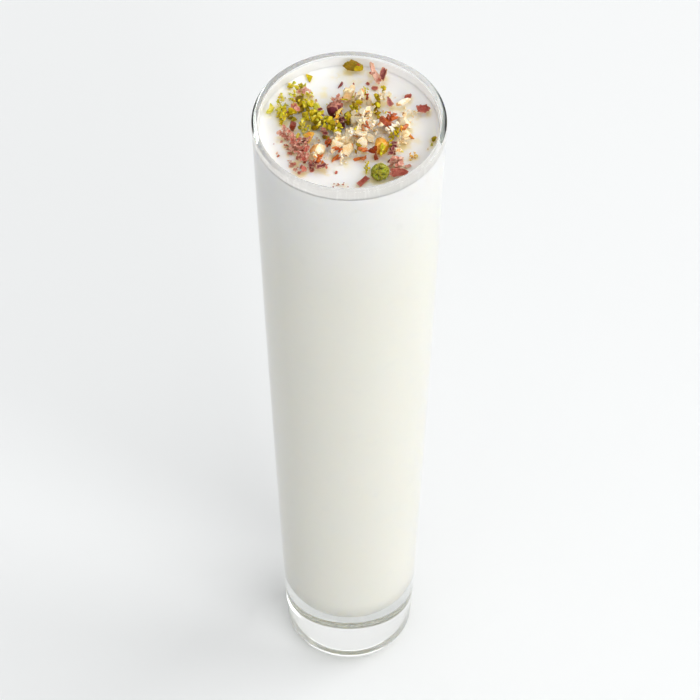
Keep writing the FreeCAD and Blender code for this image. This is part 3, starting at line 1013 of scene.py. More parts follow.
@dataclass(frozen=True)
class ChoppedBit:
    """A bit of nut: a ball one unit across, cut through by flat strokes of a knife.

    A bit with a slab is cut to that thickness first. Angles are in radians.
    """

    strokes: int
    slab: float
    fineness: int
    seed: int
    fine_cuts: int = 0
    rough: float = 0.14
    slab_tilt: float = 0.25
    stray: float = 0.35
    rise: float = 0.8
    slab_rise: float = 0.4
    reach: tuple[float, float] = (0.14, 0.36)
    on_cut: float = 0.012

    def planes(self) -> list[tuple[Vector, float]]:
        """The knife's planes: the way each faces, and how far out it lies.

        Returns:
            Each plane's direction and its distance from the middle.
        """
        draw = random.Random(self.seed)
        planes = []
        if self.slab:
            tilt = draw.uniform(-self.slab_tilt, self.slab_tilt)
            planes.append((Vector((tilt, 0, 1)).normalized(), self.slab / 2))
            planes.append((Vector((tilt, 0.1, -1)).normalized(), self.slab / 2))
        for stroke in range(self.strokes):
            turn = 2 * math.pi * (stroke + draw.uniform(-self.stray, self.stray)) / self.strokes
            rise = draw.uniform(-self.rise, self.rise) * (self.slab_rise if self.slab else 1.0)
            way = Vector((math.cos(turn) * math.cos(rise), math.sin(turn) * math.cos(rise),
                          math.sin(rise)))
            planes.append((way, draw.uniform(*self.reach)))
        return planes

    def build(self, name: str) -> Piece:
        """Cut the bit out of a ball one unit across, and mark what is left of its skin.

        Args:
            name: Name of the piece.

        Returns:
            The bit, one unit in each direction.
        """
        piece = ball(name, self.fineness)
        planes = self.planes()
        with editing(piece):
            for way, reach in planes:
                bpy.ops.mesh.select_all(action="SELECT")
                bpy.ops.mesh.bisect(plane_co=way * reach, plane_no=way, use_fill=True,
                                    clear_outer=True)
            bpy.ops.mesh.select_all(action="SELECT")
            bpy.ops.mesh.remove_doubles(threshold=0.01)
            if self.fine_cuts:
                bpy.ops.mesh.quads_convert_to_tris()
                bpy.ops.mesh.subdivide(number_cuts=self.fine_cuts)
        places = positions(piece)
        skin = np.ones(len(places))
        for way, reach in planes:
            skin[np.abs(places @ np.array(way) - reach) < self.on_cut] = 0.0
        draw = random.Random(self.seed + 77)
        shift = Vector((draw.uniform(0, 50), draw.uniform(0, 50), 0))
        rough = np.array([noise.noise(Vector(row) * 3.2 + shift) + 0.5
                          * noise.noise(Vector(row) * 8.0 + shift) for row in places])
        places *= (1 + self.rough * rough)[:, None]
        fill_box(piece, places, (1, 1, 1))
        write_attribute(piece, "skin", skin)
        smooth(piece, 28)
        return piece


@dataclass(frozen=True)
class PetalSheet:
    """A dried petal or a scrap of one: a thin sheet that has curled and crumpled.

    Sizes are millimetres. Taper narrows one end, curl rolls the sheet about its
    length and bow bends it along its length, both in degrees.
    """

    length: float
    width: float
    thickness: float = 0.16
    taper: float = 0.3
    curl: float = 60.0
    bow: float = 30.0
    crumple: float = 0.14
    torn: float = 0.12
    oval: float = 0.4
    seed: int = 0
    cells: tuple[int, int] = (14, 9)

    def build(self, name: str) -> Piece:
        """Shape a grid into the petal and give it its thickness.

        Args:
            name: Name of the piece.

        Returns:
            The petal, in metres.
        """
        piece = grid(name, *self.cells)
        flat = positions(piece)
        rim = np.maximum(np.abs(flat[:, 0]), np.abs(flat[:, 1]))
        shift = self.seed * 3.7
        curl, bow = math.radians(self.curl), math.radians(self.bow)
        for row in flat:
            u, v = row[0], row[1]
            ragged = 1 + self.torn * (wave(u * 2.3, v * 2.3, shift)
                                      + 0.6 * wave(u * 5.1, v * 5.1, shift))
            round_off = math.sqrt(1 - self.oval * v * v), math.sqrt(1 - self.oval * u * u)
            along = u * self.length / 2 * round_off[0] * ragged
            across = v * self.width / 2 * round_off[1] * ragged * (1 - self.taper * (u + 1) / 2)
            roll, bend = curl * v / 2, bow * u / 2
            depth = 0.0
            if self.curl:
                radius = self.width / curl
                across, depth = radius * math.sin(across / radius), radius * (1 - math.cos(roll))
            if self.bow:
                radius = self.length / bow
                along, depth = ((radius - depth) * math.sin(along / radius),
                                depth + radius * (1 - math.cos(bend)))
            depth += self.crumple * self.width * wave(u * 1.9, v * 1.6, shift + 9)
            depth += 0.4 * self.crumple * self.width * wave(u * 5.0, v * 2.2, shift + 4)
            row[:] = along * MM, across * MM, depth * MM
        move_to(piece, flat)
        write_attribute(piece, "skin", np.clip((rim - 0.7) / 0.3, 0, 1) * 0.8)
        thicken(piece, self.thickness * MM)
        smooth(piece, 60)
        return piece


@dataclass(frozen=True)
class Kernel:
    """A whole shelled pistachio: plump, and wrinkled lengthways."""

    length: float = 5.4
    width: float = 4.8
    height: float = 5.2
    wrinkle: float = 0.26
    fine_wrinkle: float = 0.12
    grooves: Triple = (1.5, 2.9, 2.9)
    fineness: int = 6

    def build(self, name: str) -> Piece:
        """Wrinkle a ball and draw it out to the kernel's size.

        Args:
            name: Name of the piece.

        Returns:
            The kernel, in metres.
        """
        piece = ball(name, self.fineness)
        places = positions(piece)
        skin = np.empty(len(places))
        for i, row in enumerate(places):
            long_way = Vector([2 * part * groove for part, groove in zip(row, self.grooves)])
            fold = 1 - 2.2 * abs(noise.noise(long_way * 0.9 + Vector((2, 7, 1))))
            fine = 1 - 2.0 * abs(noise.noise(long_way * 2.3 + Vector((8, 1, 4))))
            # Painted shade: skin is low in the furrows, which take the darker colours.
            skin[i] = min(1.0, max(0.0, 0.5 + 0.5 * fold))
            row *= 0.95 + self.wrinkle * (fold - 0.5) + self.fine_wrinkle * (fine - 0.5)
        fill_box(piece, places, (self.length * MM, self.width * MM, self.height * MM))
        write_attribute(piece, "skin", skin)
        smooth(piece)
        return piece


@dataclass(frozen=True)
class RoseBud:
    """A dried rose bud: petals wrapped round each other, their rims curled back.

    The outer sizes are millimetres and the wrap is degrees. What shapes each petal is
    a share of the bud's length.
    """

    length: float = 4.9
    width: float = 4.4
    height: float = 4.0
    petals: int = 13
    wrap: float = 126.0
    heart: float = 0.12
    layers: float = 0.36
    rim_curl: float = 0.10
    crinkle: float = 0.07
    thickness: float = 0.035
    cells: tuple[int, int] = (16, 12)

    def build(self, name: str) -> Piece:
        """Wrap petal after petal round the bud's heart, and join them.

        Args:
            name: Name of the piece.

        Returns:
            The bud, in metres.
        """
        made = []
        for number in range(self.petals):
            petal = grid(name, *self.cells)
            share = (number + 1) / self.petals
            turn = math.radians(GOLDEN_ANGLE * number)
            places = positions(petal)
            rims = (places[:, 1] - 0.5) / 0.4, (np.abs(places[:, 0]) - 0.72) / 0.3
            skin = np.clip(np.maximum(*rims), 0, 1)
            for row in places:
                u, v = row[0], (row[1] + 1) / 2
                rim = v * (1 - 0.16 * u * u) + 0.03 * wave(u * 4, v, number)
                rise = -0.5 + rim * (1.02 - 0.22 * share)
                belly = math.sin(math.pi * (0.10 + 0.66 * rim)) ** 0.7
                out = (self.heart + self.layers * share) * belly
                out += self.rim_curl * share * max(0.0, rim - 0.72) / 0.28
                out += self.crinkle * wave(u * 3.4, v * 2.0, number * 5.1)
                rise += self.crinkle * wave(u * 2.3, number * 3.3, 1.0) * rim
                around = turn + math.radians(self.wrap) / 2 * u
                row[:] = out * math.cos(around), out * math.sin(around), rise
            move_to(petal, places)
            write_attribute(petal, "skin", skin)
            thicken(petal, self.thickness)
            made.append(petal)
        piece = join(made, name)
        fill_box(piece, positions(piece), (self.width * MM, self.height * MM, self.length * MM))
        smooth(piece, 60)
        return piece


def join(made: Sequence[Piece], name: str) -> Piece:
    """Join meshes into one piece of that name.

    Args:
        made: The meshes.
        name: The name.

    Returns:
        The joined piece.
    """
    pick(made[0])
    for other in made[1:]:
        other.select_set(True)
    if len(made) > 1:
        bpy.ops.object.join()
    made[0].name = made[0].data.name = name
    return made[0]


def turned(roll: float, tilt: float, turn: float) -> Matrix:
    """The matrix of three turns in degrees about X, Y and Z, taken in that order."""
    return Euler(tuple(map(math.radians, (roll, tilt, turn)))).to_matrix().to_4x4()


# ------------------------------------------------------------------ the bed of toppings

class Bed:
    """How high things already lie on the drink, on a fine square grid in millimetres."""

    half = 28.0
    cell = 0.25

    def __init__(self, drink: Drink) -> None:
        """Start with the drink's own surface.

        Args:
            drink: The drink.
        """
        self.count = int(2 * self.half / self.cell) + 1
        axis = np.linspace(-self.half, self.half, self.count)
        self.height = np.array([[drink.surface(x, y) for x in axis] for y in axis])
        self.taken = np.zeros(self.height.shape, dtype=bool)

    def spots(self, places: np.ndarray) -> tuple[np.ndarray, np.ndarray]:
        """Rows and columns of the grid under places given in millimetres.

        Args:
            places: The places, one row each.

        Returns:
            The rows and the columns.
        """
        steps = np.rint((places[:, :2] + self.half) / self.cell).astype(int)
        steps = np.clip(steps, 1, self.count - 2)
        return steps[:, 1], steps[:, 0]

    def rest(self, places: np.ndarray, settle: float) -> float:
        """How far up a thing must move to lie here.

        Args:
            places: Its corners in millimetres, at any height.
            settle: Share of its lower corners that may press in.

        Returns:
            The distance in millimetres.
        """
        low = places[places[:, 2] <= np.median(places[:, 2])]
        gaps = self.height[self.spots(low)] - low[:, 2]
        return float(np.quantile(gaps, 1 - settle))

    def keep_clear(self, places: np.ndarray) -> None:
        """Let no loose bit be laid on top of this."""
        rows, columns = self.spots(places)
        self.taken[rows, columns] = True

    def cover(self, places: np.ndarray) -> None:
        """Raise the bed to whatever has been laid on it.

        Args:
            places: Its vertices, in millimetres.
        """
        rows, columns = self.spots(places)
        for down in (-1, 0, 1):
            for across in (-1, 0, 1):
                np.maximum.at(self.height, (rows + down, columns + across), places[:, 2])


Shape = Union[ChoppedBit, PetalSheet, Kernel, RoseBud]


class Chosen(NamedTuple):
    """One topping that stands for a CAD node: its form, how it lies, and its colour.

    The lie is three turns in degrees. The size is a chopped bit's, as that has none of its own.
    """

    node: str
    finish: ChoppedFinish
    form: Shape
    lie: Triple
    tone: float
    size: Triple = (1.0, 1.0, 1.0)


class Strewn(NamedTuple):
    """A patch of loose bits: what, where, how far it spreads, how many and how large.

    Places, spreads and sizes are millimetres and the turn is degrees. Colours run from
    0, the darkest, to 1.
    """

    kind: Kind
    form: Form
    x: float
    y: float
    wide: float
    deep: float
    count: int
    small: float
    large: float
    dark: float
    light: float
    turn: float = 0.0


PI, AL, SK, GO, RO, DR = (Kind.PISTACHIO, Kind.ALMOND, Kind.SKIN, Kind.GOLDEN, Kind.ROSE,
                          Kind.DARK_ROSE)
CHIP, CHUNK, SLICE, SLIVER, CRUMB, SCRAP = Form

STREWN = tuple(Strewn(*row) for row in (
    # the left heap
    (PI, CHIP, -13.8, 14.6, 2.2, 1.6, 16, 0.7, 1.8, 0.6, 1),
    (RO, SCRAP, -13.2, 12.4, 2.4, 1.2, 20, 0.5, 1.5, 0.75, 1),
    (PI, CHUNK, -14.2, 8.9, 1.6, 1.2, 7, 2, 3.2, 0.05, 0.4),
    (PI, CHIP, -13.5, 8.4, 3.2, 2, 18, 0.9, 2, 0.4, 0.8),
    (PI, CHUNK, -9.6, 8.2, 1, 0.9, 4, 1.6, 2.6, 0.65, 0.9),
    (PI, CHUNK, -16.8, 5, 0.8, 0.9, 4, 1.2, 2.2, 0.3, 0.55),
    (RO, SCRAP, -15.8, 6.4, 2, 1.2, 8, 0.8, 1.8, 0.5, 0.9),
    (PI, CHIP, -19.5, 5.8, 2.4, 1.6, 10, 0.6, 1.6, 0.5, 0.9),
    (PI, SLICE, -22.6, 7.6, 0.7, 0.4, 3, 1.2, 2.4, 0.7, 1),
    (PI, CRUMB, -19.5, 10, 1.6, 0.6, 8, 0.4, 0.9, 0.6, 1),
    (PI, CHIP, -19, 2.6, 1, 0.8, 4, 0.7, 1.4, 0.5, 0.8),
    (RO, SCRAP, -19.8, 13.6, 0.4, 0.4, 3, 0.7, 1.1, 0.8, 1),
    # the band of pistachio across the middle
    (PI, CHUNK, -9.6, 3, 4.2, 1.9, 20, 1.3, 2.7, 0.25, 0.8, -15),
    (PI, CHIP, -9.5, 1.6, 5.2, 2.4, 44, 0.7, 1.7, 0.4, 1, -15),
    (PI, CHUNK, -4.8, -0.4, 2.4, 1.5, 12, 1.2, 2.4, 0.2, 0.75, -20),
    (PI, CHIP, -13.2, -0.4, 1.8, 1.8, 12, 0.8, 1.8, 0.5, 1),
    (GO, CHIP, -4.2, -0.2, 0.9, 0.7, 4, 0.9, 1.6, 0.6, 1),
    (DR, SCRAP, -7.8, 3, 1.5, 1.4, 5, 1, 2.6, 0.2, 0.7),
    (PI, CHUNK, -2.4, -1.2, 1.1, 0.9, 5, 1.2, 2, 0.35, 0.6),
    (PI, CHUNK, -0.4, 2.8, 1.8, 1.5, 9, 1.2, 2.4, 0, 0.35),
    (GO, SLIVER, -3.2, 3.2, 1.6, 0.9, 8, 0.8, 1.8, 0.7, 1, 70),
    (DR, SCRAP, -2, 1.2, 1.4, 0.5, 4, 1, 2.2, 0, 0.4),
    # behind the middle
    (AL, SLICE, -0.2, 13, 0.9, 2.2, 5, 1.4, 3.2, 0.3, 0.8),
    (SK, CHIP, 1.2, 15, 0.5, 0.5, 3, 0.8, 1.4, 0.1, 0.5),
    (AL, CHIP, 3.4, 11.4, 2.4, 1.4, 12, 0.9, 2.2, 0.4, 0.9),
    (SK, SLIVER, 1.9, 11.6, 0.6, 0.5, 2, 0.9, 1.6, 0.2, 0.6, 60),
    (SK, CHIP, 5.2, 10.9, 0.7, 0.4, 3, 0.8, 1.4, 0.2, 0.6),
    (PI, CHIP, 4.6, 13.6, 0.8, 0.8, 4, 0.5, 1, 0.7, 1),
    (PI, CHUNK, 2, 8, 1.5, 1.6, 9, 1, 2.2, 0.2, 0.6),
    (PI, CHIP, 1.2, 6, 1.6, 1.4, 8, 0.7, 1.6, 0.4, 0.8),
    (PI, CHUNK, 8.2, 7.6, 1.4, 2.1, 9, 1, 2, 0.1, 0.55),
    (AL, CHIP, 9.6, 11.6, 2, 1.8, 10, 0.9, 2, 0.5, 0.9),
    (PI, CRUMB, 9.8, 13.8, 1.6, 0.5, 5, 0.6, 1.1, 0.2, 0.6),
    (DR, SCRAP, 4.6, 6.2, 0.5, 0.8, 2, 1.4, 2.2, 0.5, 0.8),
    (RO, SCRAP, -3.2, 10, 1.3, 0.9, 8, 0.8, 1.8, 0.7, 1),
    (PI, SLICE, -1.8, 9.6, 0.4, 0.7, 2, 1.6, 2.4, 0.3, 0.5, 70),
    # the pale nuts in the middle
    (AL, CHUNK, 5.2, 3.6, 2.6, 2.1, 14, 1.4, 3, 0.5, 1),
    (AL, SLICE, 3.4, 0.4, 3.4, 1.8, 12, 1.6, 3.2, 0.3, 0.9),
    (AL, SLICE, 1.2, -3.8, 4.2, 1.9, 12, 1.8, 3.4, 0.3, 0.9),
    (AL, CHIP, 6.5, -1, 4.5, 2.6, 22, 0.8, 1.9, 0.4, 1),
    (SK, SLIVER, 4.8, -1.6, 1.6, 1.5, 6, 1.4, 3, 0.4, 1, -55),
    (AL, CHIP, -3.6, -5.6, 2.2, 1.6, 10, 0.8, 2, 0.2, 0.8),
    (PI, CHIP, -2.4, -2.6, 1.2, 1, 6, 0.8, 1.5, 0.5, 0.8),
    (PI, CHUNK, -6.6, -4.2, 0.7, 0.7, 3, 1, 1.6, 0.1, 0.4),
    (DR, SCRAP, -7.3, -2.8, 1, 0.8, 4, 0.8, 1.8, 0.3, 0.8),
    (SK, CHIP, -5.8, -7.2, 1.3, 1, 8, 0.7, 1.6, 0.1, 0.6),
    # the right side
    (AL, CHUNK, 15.8, 3, 1.4, 1.8, 6, 1.2, 2.4, 0.5, 0.95),
    (GO, CHIP, 15.2, -2.6, 1.4, 1, 7, 1, 2.2, 0.2, 0.7),
    (AL, SLICE, 15.6, -5.2, 1.7, 1.6, 9, 1.2, 2.8, 0.2, 0.7),
    (PI, CHIP, 13.4, -3.6, 1.4, 1.6, 8, 0.8, 1.6, 0.3, 0.8),
    (AL, CHIP, 12.8, -1.6, 1.8, 2.4, 12, 0.8, 1.8, 0.6, 1),
    (DR, SCRAP, 12.8, -8.6, 0.9, 1, 5, 0.8, 1.8, 0.4, 0.9),
    (PI, CHUNK, 11.9, -7.8, 0.8, 1.9, 8, 0.9, 1.9, 0.3, 0.7),
    (SK, CHIP, 11.4, 3, 1.8, 1.5, 7, 1, 2.2, 0.2, 0.7),
    (SK, SLICE, 12.8, 1.6, 1.2, 1.2, 4, 1.4, 2.4, 0.5, 0.9),
    # towards the front
    (SK, CHUNK, 7.4, -10.2, 1.3, 1.1, 8, 1, 2.2, 0, 0.35),
    (PI, SLIVER, 9.8, -10.8, 0.6, 1.6, 5, 1.2, 2.4, 0.4, 0.8, 80),
    (DR, SCRAP, 11.8, -11.6, 0.7, 1.4, 4, 1.2, 2.4, 0.3, 0.7),
    (AL, CHUNK, 13.6, -11.2, 0.9, 0.8, 4, 1.2, 2.4, 0.6, 0.95),
    (RO, SCRAP, 13.8, -14.2, 2.2, 1.2, 18, 0.8, 1.8, 0.7, 1),
    (PI, CRUMB, 14.8, -11.2, 0.8, 0.6, 3, 0.5, 0.9, 0.6, 0.9),
    (PI, CHIP, 2.6, -9.4, 1.2, 0.5, 5, 0.9, 1.8, 0, 0.25),
    (SK, SLIVER, 4.4, -11.2, 1.7, 0.4, 4, 1.2, 2.6, 0.4, 0.8, 5),
    (SK, SLIVER, -3.4, -10.8, 1.5, 0.5, 4, 1.2, 2.8, 0.3, 0.8, 12),
    (AL, CHIP, -2, -12.3, 1.4, 0.6, 7, 0.8, 1.8, 0.8, 1),
    (AL, CHIP, -9, -8.4, 1.3, 1.2, 5, 0.8, 1.6, 0.2, 0.6),
    # the fan of petal crumbs on the left
    (RO, SCRAP, -18.4, -3.2, 2.5, 1.7, 24, 0.4, 1.3, 0.65, 1),
    (RO, SCRAP, -15.4, -7.2, 2.4, 2.5, 30, 0.4, 1.5, 0.4, 0.95),
    (RO, SCRAP, -13.4, -10.4, 2.2, 2.5, 36, 0.4, 1.5, 0.35, 0.9),
    (RO, SCRAP, -12.2, -13.6, 2.3, 1.9, 34, 0.4, 1.4, 0.3, 0.85),
    (DR, SCRAP, -12.6, -7, 1.6, 1.1, 8, 1, 2.2, 0.5, 1),
    (DR, SCRAP, -10.8, -14.2, 1.6, 1, 10, 0.8, 1.8, 0.2, 0.8),
    (RO, SCRAP, -13.2, -16.2, 1.5, 0.8, 8, 0.6, 1.6, 0.4, 0.9),
    (SK, CHIP, -8.8, -13, 1.2, 1.3, 8, 0.7, 1.6, 0.3, 0.8),
    (AL, CHIP, -9.4, -12.6, 1, 0.9, 5, 0.8, 1.8, 0.4, 0.8),
    (SK, CHUNK, -16.2, 0.2, 0.5, 0.5, 3, 1.2, 2, 0, 0.2),
    (RO, SCRAP, -15, -9, 6.4, 7, 24, 0.3, 0.8, 0.5, 1),
    # single bits further out
    (PI, CRUMB, -16, 11, 5.5, 5, 14, 0.3, 0.8, 0.6, 1),
    (PI, CRUMB, 2, 4, 14, 8, 20, 0.3, 0.8, 0.5, 0.9),
    (AL, CRUMB, 5, 0, 14, 9, 26, 0.3, 0.9, 0.5, 1),
    (PI, SLICE, -11.6, 21, 0.2, 0.2, 1, 2.2, 2.4, 0.4, 0.5, 65),
    (PI, SLICE, -16.9, 17.6, 0.3, 0.3, 2, 1.4, 2.2, 0.5, 0.7, 110),
    (DR, SLIVER, -2.5, 18.2, 0.1, 0.1, 1, 2, 2.2, 0.7, 0.8, 35),
    (RO, SCRAP, 6.4, 18.8, 1.6, 1.1, 10, 0.8, 1.9, 0.4, 0.9),
    (PI, CHIP, 6.8, 18.6, 0.7, 0.4, 2, 1, 1.5, 0.2, 0.4),
    (PI, CHUNK, 10.5, 19.6, 0.1, 0.1, 1, 1.5, 1.6, 0.15, 0.2),
    (SK, CHIP, 2.6, 22.8, 0.7, 0.4, 3, 0.8, 1.4, 0.3, 0.6),
    (PI, CHIP, 24.2, -3.6, 0.3, 0.4, 2, 1.2, 1.7, 0.25, 0.4),
    (PI, CRUMB, 23.4, -5.6, 0.5, 0.4, 2, 0.5, 0.8, 0.7, 0.9),
    (GO, CRUMB, 18.2, -10.6, 1.3, 0.8, 4, 0.4, 1, 0.6, 0.9),
    (AL, CRUMB, 17.5, 6.5, 3, 2.6, 8, 0.3, 0.8, 0.8, 1),
    (RO, SCRAP, 16.9, 12.8, 0.5, 0.5, 3, 1.1, 1.8, 0.3, 0.6),
    (PI, CRUMB, 5.2, -15.8, 1.4, 1.8, 7, 0.3, 0.8, 0.5, 0.9),
    (RO, SCRAP, -5.6, -16.2, 1.9, 0.7, 3, 0.5, 0.9, 0.4, 0.8),
    (RO, SCRAP, -3, -21, 4.6, 1, 4, 0.3, 0.6, 0.3, 0.7),
))

CHOSEN = (
    Chosen("pistachio_kernel", KERNEL, Kernel(), (0, 8, 12), 0.5),
    Chosen("pistachio_chunk", PISTACHIO, ChoppedBit(5, 0.0, 4, 21, 1, 0.24), (20, 10, -14), 0.36,
           (6.0, 3.2, 3.2)),
    Chosen("golden_chunk", GOLDEN, ChoppedBit(5, 0.0, 4, 32, 1), (0, -12, 74), 0.66,
           (4.8, 4.2, 4.3)),
    Chosen("golden_bit", GOLDEN, ChoppedBit(5, 0.0, 4, 41, 1), (0, 0, 20), 0.72, (3.5, 3.0, 2.8)),
    Chosen("glossy_almond", ALMOND_SKIN, ChoppedBit(4, 0.0, 4, 52, 1, 0.22), (0, 10, -34), 0.5,
           (5.6, 3.8, 3.2)),
    Chosen("hazelnut_piece", HAZELNUT, ChoppedBit(4, 0.0, 4, 63, 1), (0, 6, 98), 0.85,
           (4.8, 3.8, 3.5)),
    Chosen("almond_piece", ALMOND, ChoppedBit(4, 0.0, 4, 74, 1), (10, 0, 62), 0.7, (4.9, 3.6, 2.9)),
    Chosen("almond_flake_left", ALMOND, ChoppedBit(2, 0.22, 4, 81, 1, 0.26), (12, -34, 70), 0.45,
           (4.2, 3.6, 2.2)),
    Chosen("almond_flake_middle", ALMOND, ChoppedBit(2, 0.22, 4, 92, 1, 0.26), (-8, -36, 96), 0.35,
           (4.0, 3.2, 2.2)),
    Chosen("almond_flake_right", ALMOND, ChoppedBit(2, 0.24, 4, 83, 1, 0.26), (6, -44, 84), 0.55,
           (4.6, 3.2, 2.2)),
    Chosen("almond_flake_top", ALMOND, ChoppedBit(2, 0.24, 4, 84, 1, 0.26), (18, -30, 104), 0.45,
           (4.4, 3.0, 2.2)),
    Chosen("almond_shaving", ALMOND, ChoppedBit(4, 0.24, 4, 85, 1, 0.3), (22, -16, 66), 0.12,
           (5.8, 2.8, 2.4)),
    Chosen("almond_crescent", ALMOND, ChoppedBit(2, 0.4, 4, 86, 1, 0.3), (14, 0, 24), 0.75,
           (5.1, 1.6, 1.4)),
    Chosen("rose_bud", BUD, RoseBud(), (-46, 10, 24), 0.45),
    Chosen("petal_front", ROSE, PetalSheet(5.4, 2.9, taper=0.3, curl=50, bow=-30, torn=0.3, seed=1),
           (22, 0, 2), 0.42),
    Chosen("petal_strip", ROSE,
           PetalSheet(4.0, 1.6, taper=0.0, curl=24, bow=12, torn=0.05, oval=0.0, seed=2),
           (6, 0, 50), 0.36),
    Chosen("petal_right", ROSE,
           PetalSheet(3.6, 3.0, taper=0.15, curl=50, bow=30, torn=0.4, oval=0.2, seed=3),
           (0, 6, 14), 0.3),
    Chosen("petal_curl", ROSE, PetalSheet(6.8, 3.4, taper=0.7, curl=120, bow=30, torn=0.3, seed=4),
           (26, -24, 112), 0.95),
    Chosen("petal_roll", DARK_PETAL,
           PetalSheet(3.8, 3.0, taper=0.2, curl=190, bow=10, torn=0.35, seed=5), (0, -38, 70),
           0.85),
    Chosen("petal_point", DARK_PETAL, PetalSheet(3.4, 2.7, taper=0.8, curl=50, bow=20, seed=6),
           (10, -20, 108), 0.85),
    Chosen("petal_fold", DARK_PETAL,
           PetalSheet(3.9, 2.4, taper=0.3, curl=110, bow=20, torn=0.3, seed=7), (-14, 10, 34), 0.7),
)


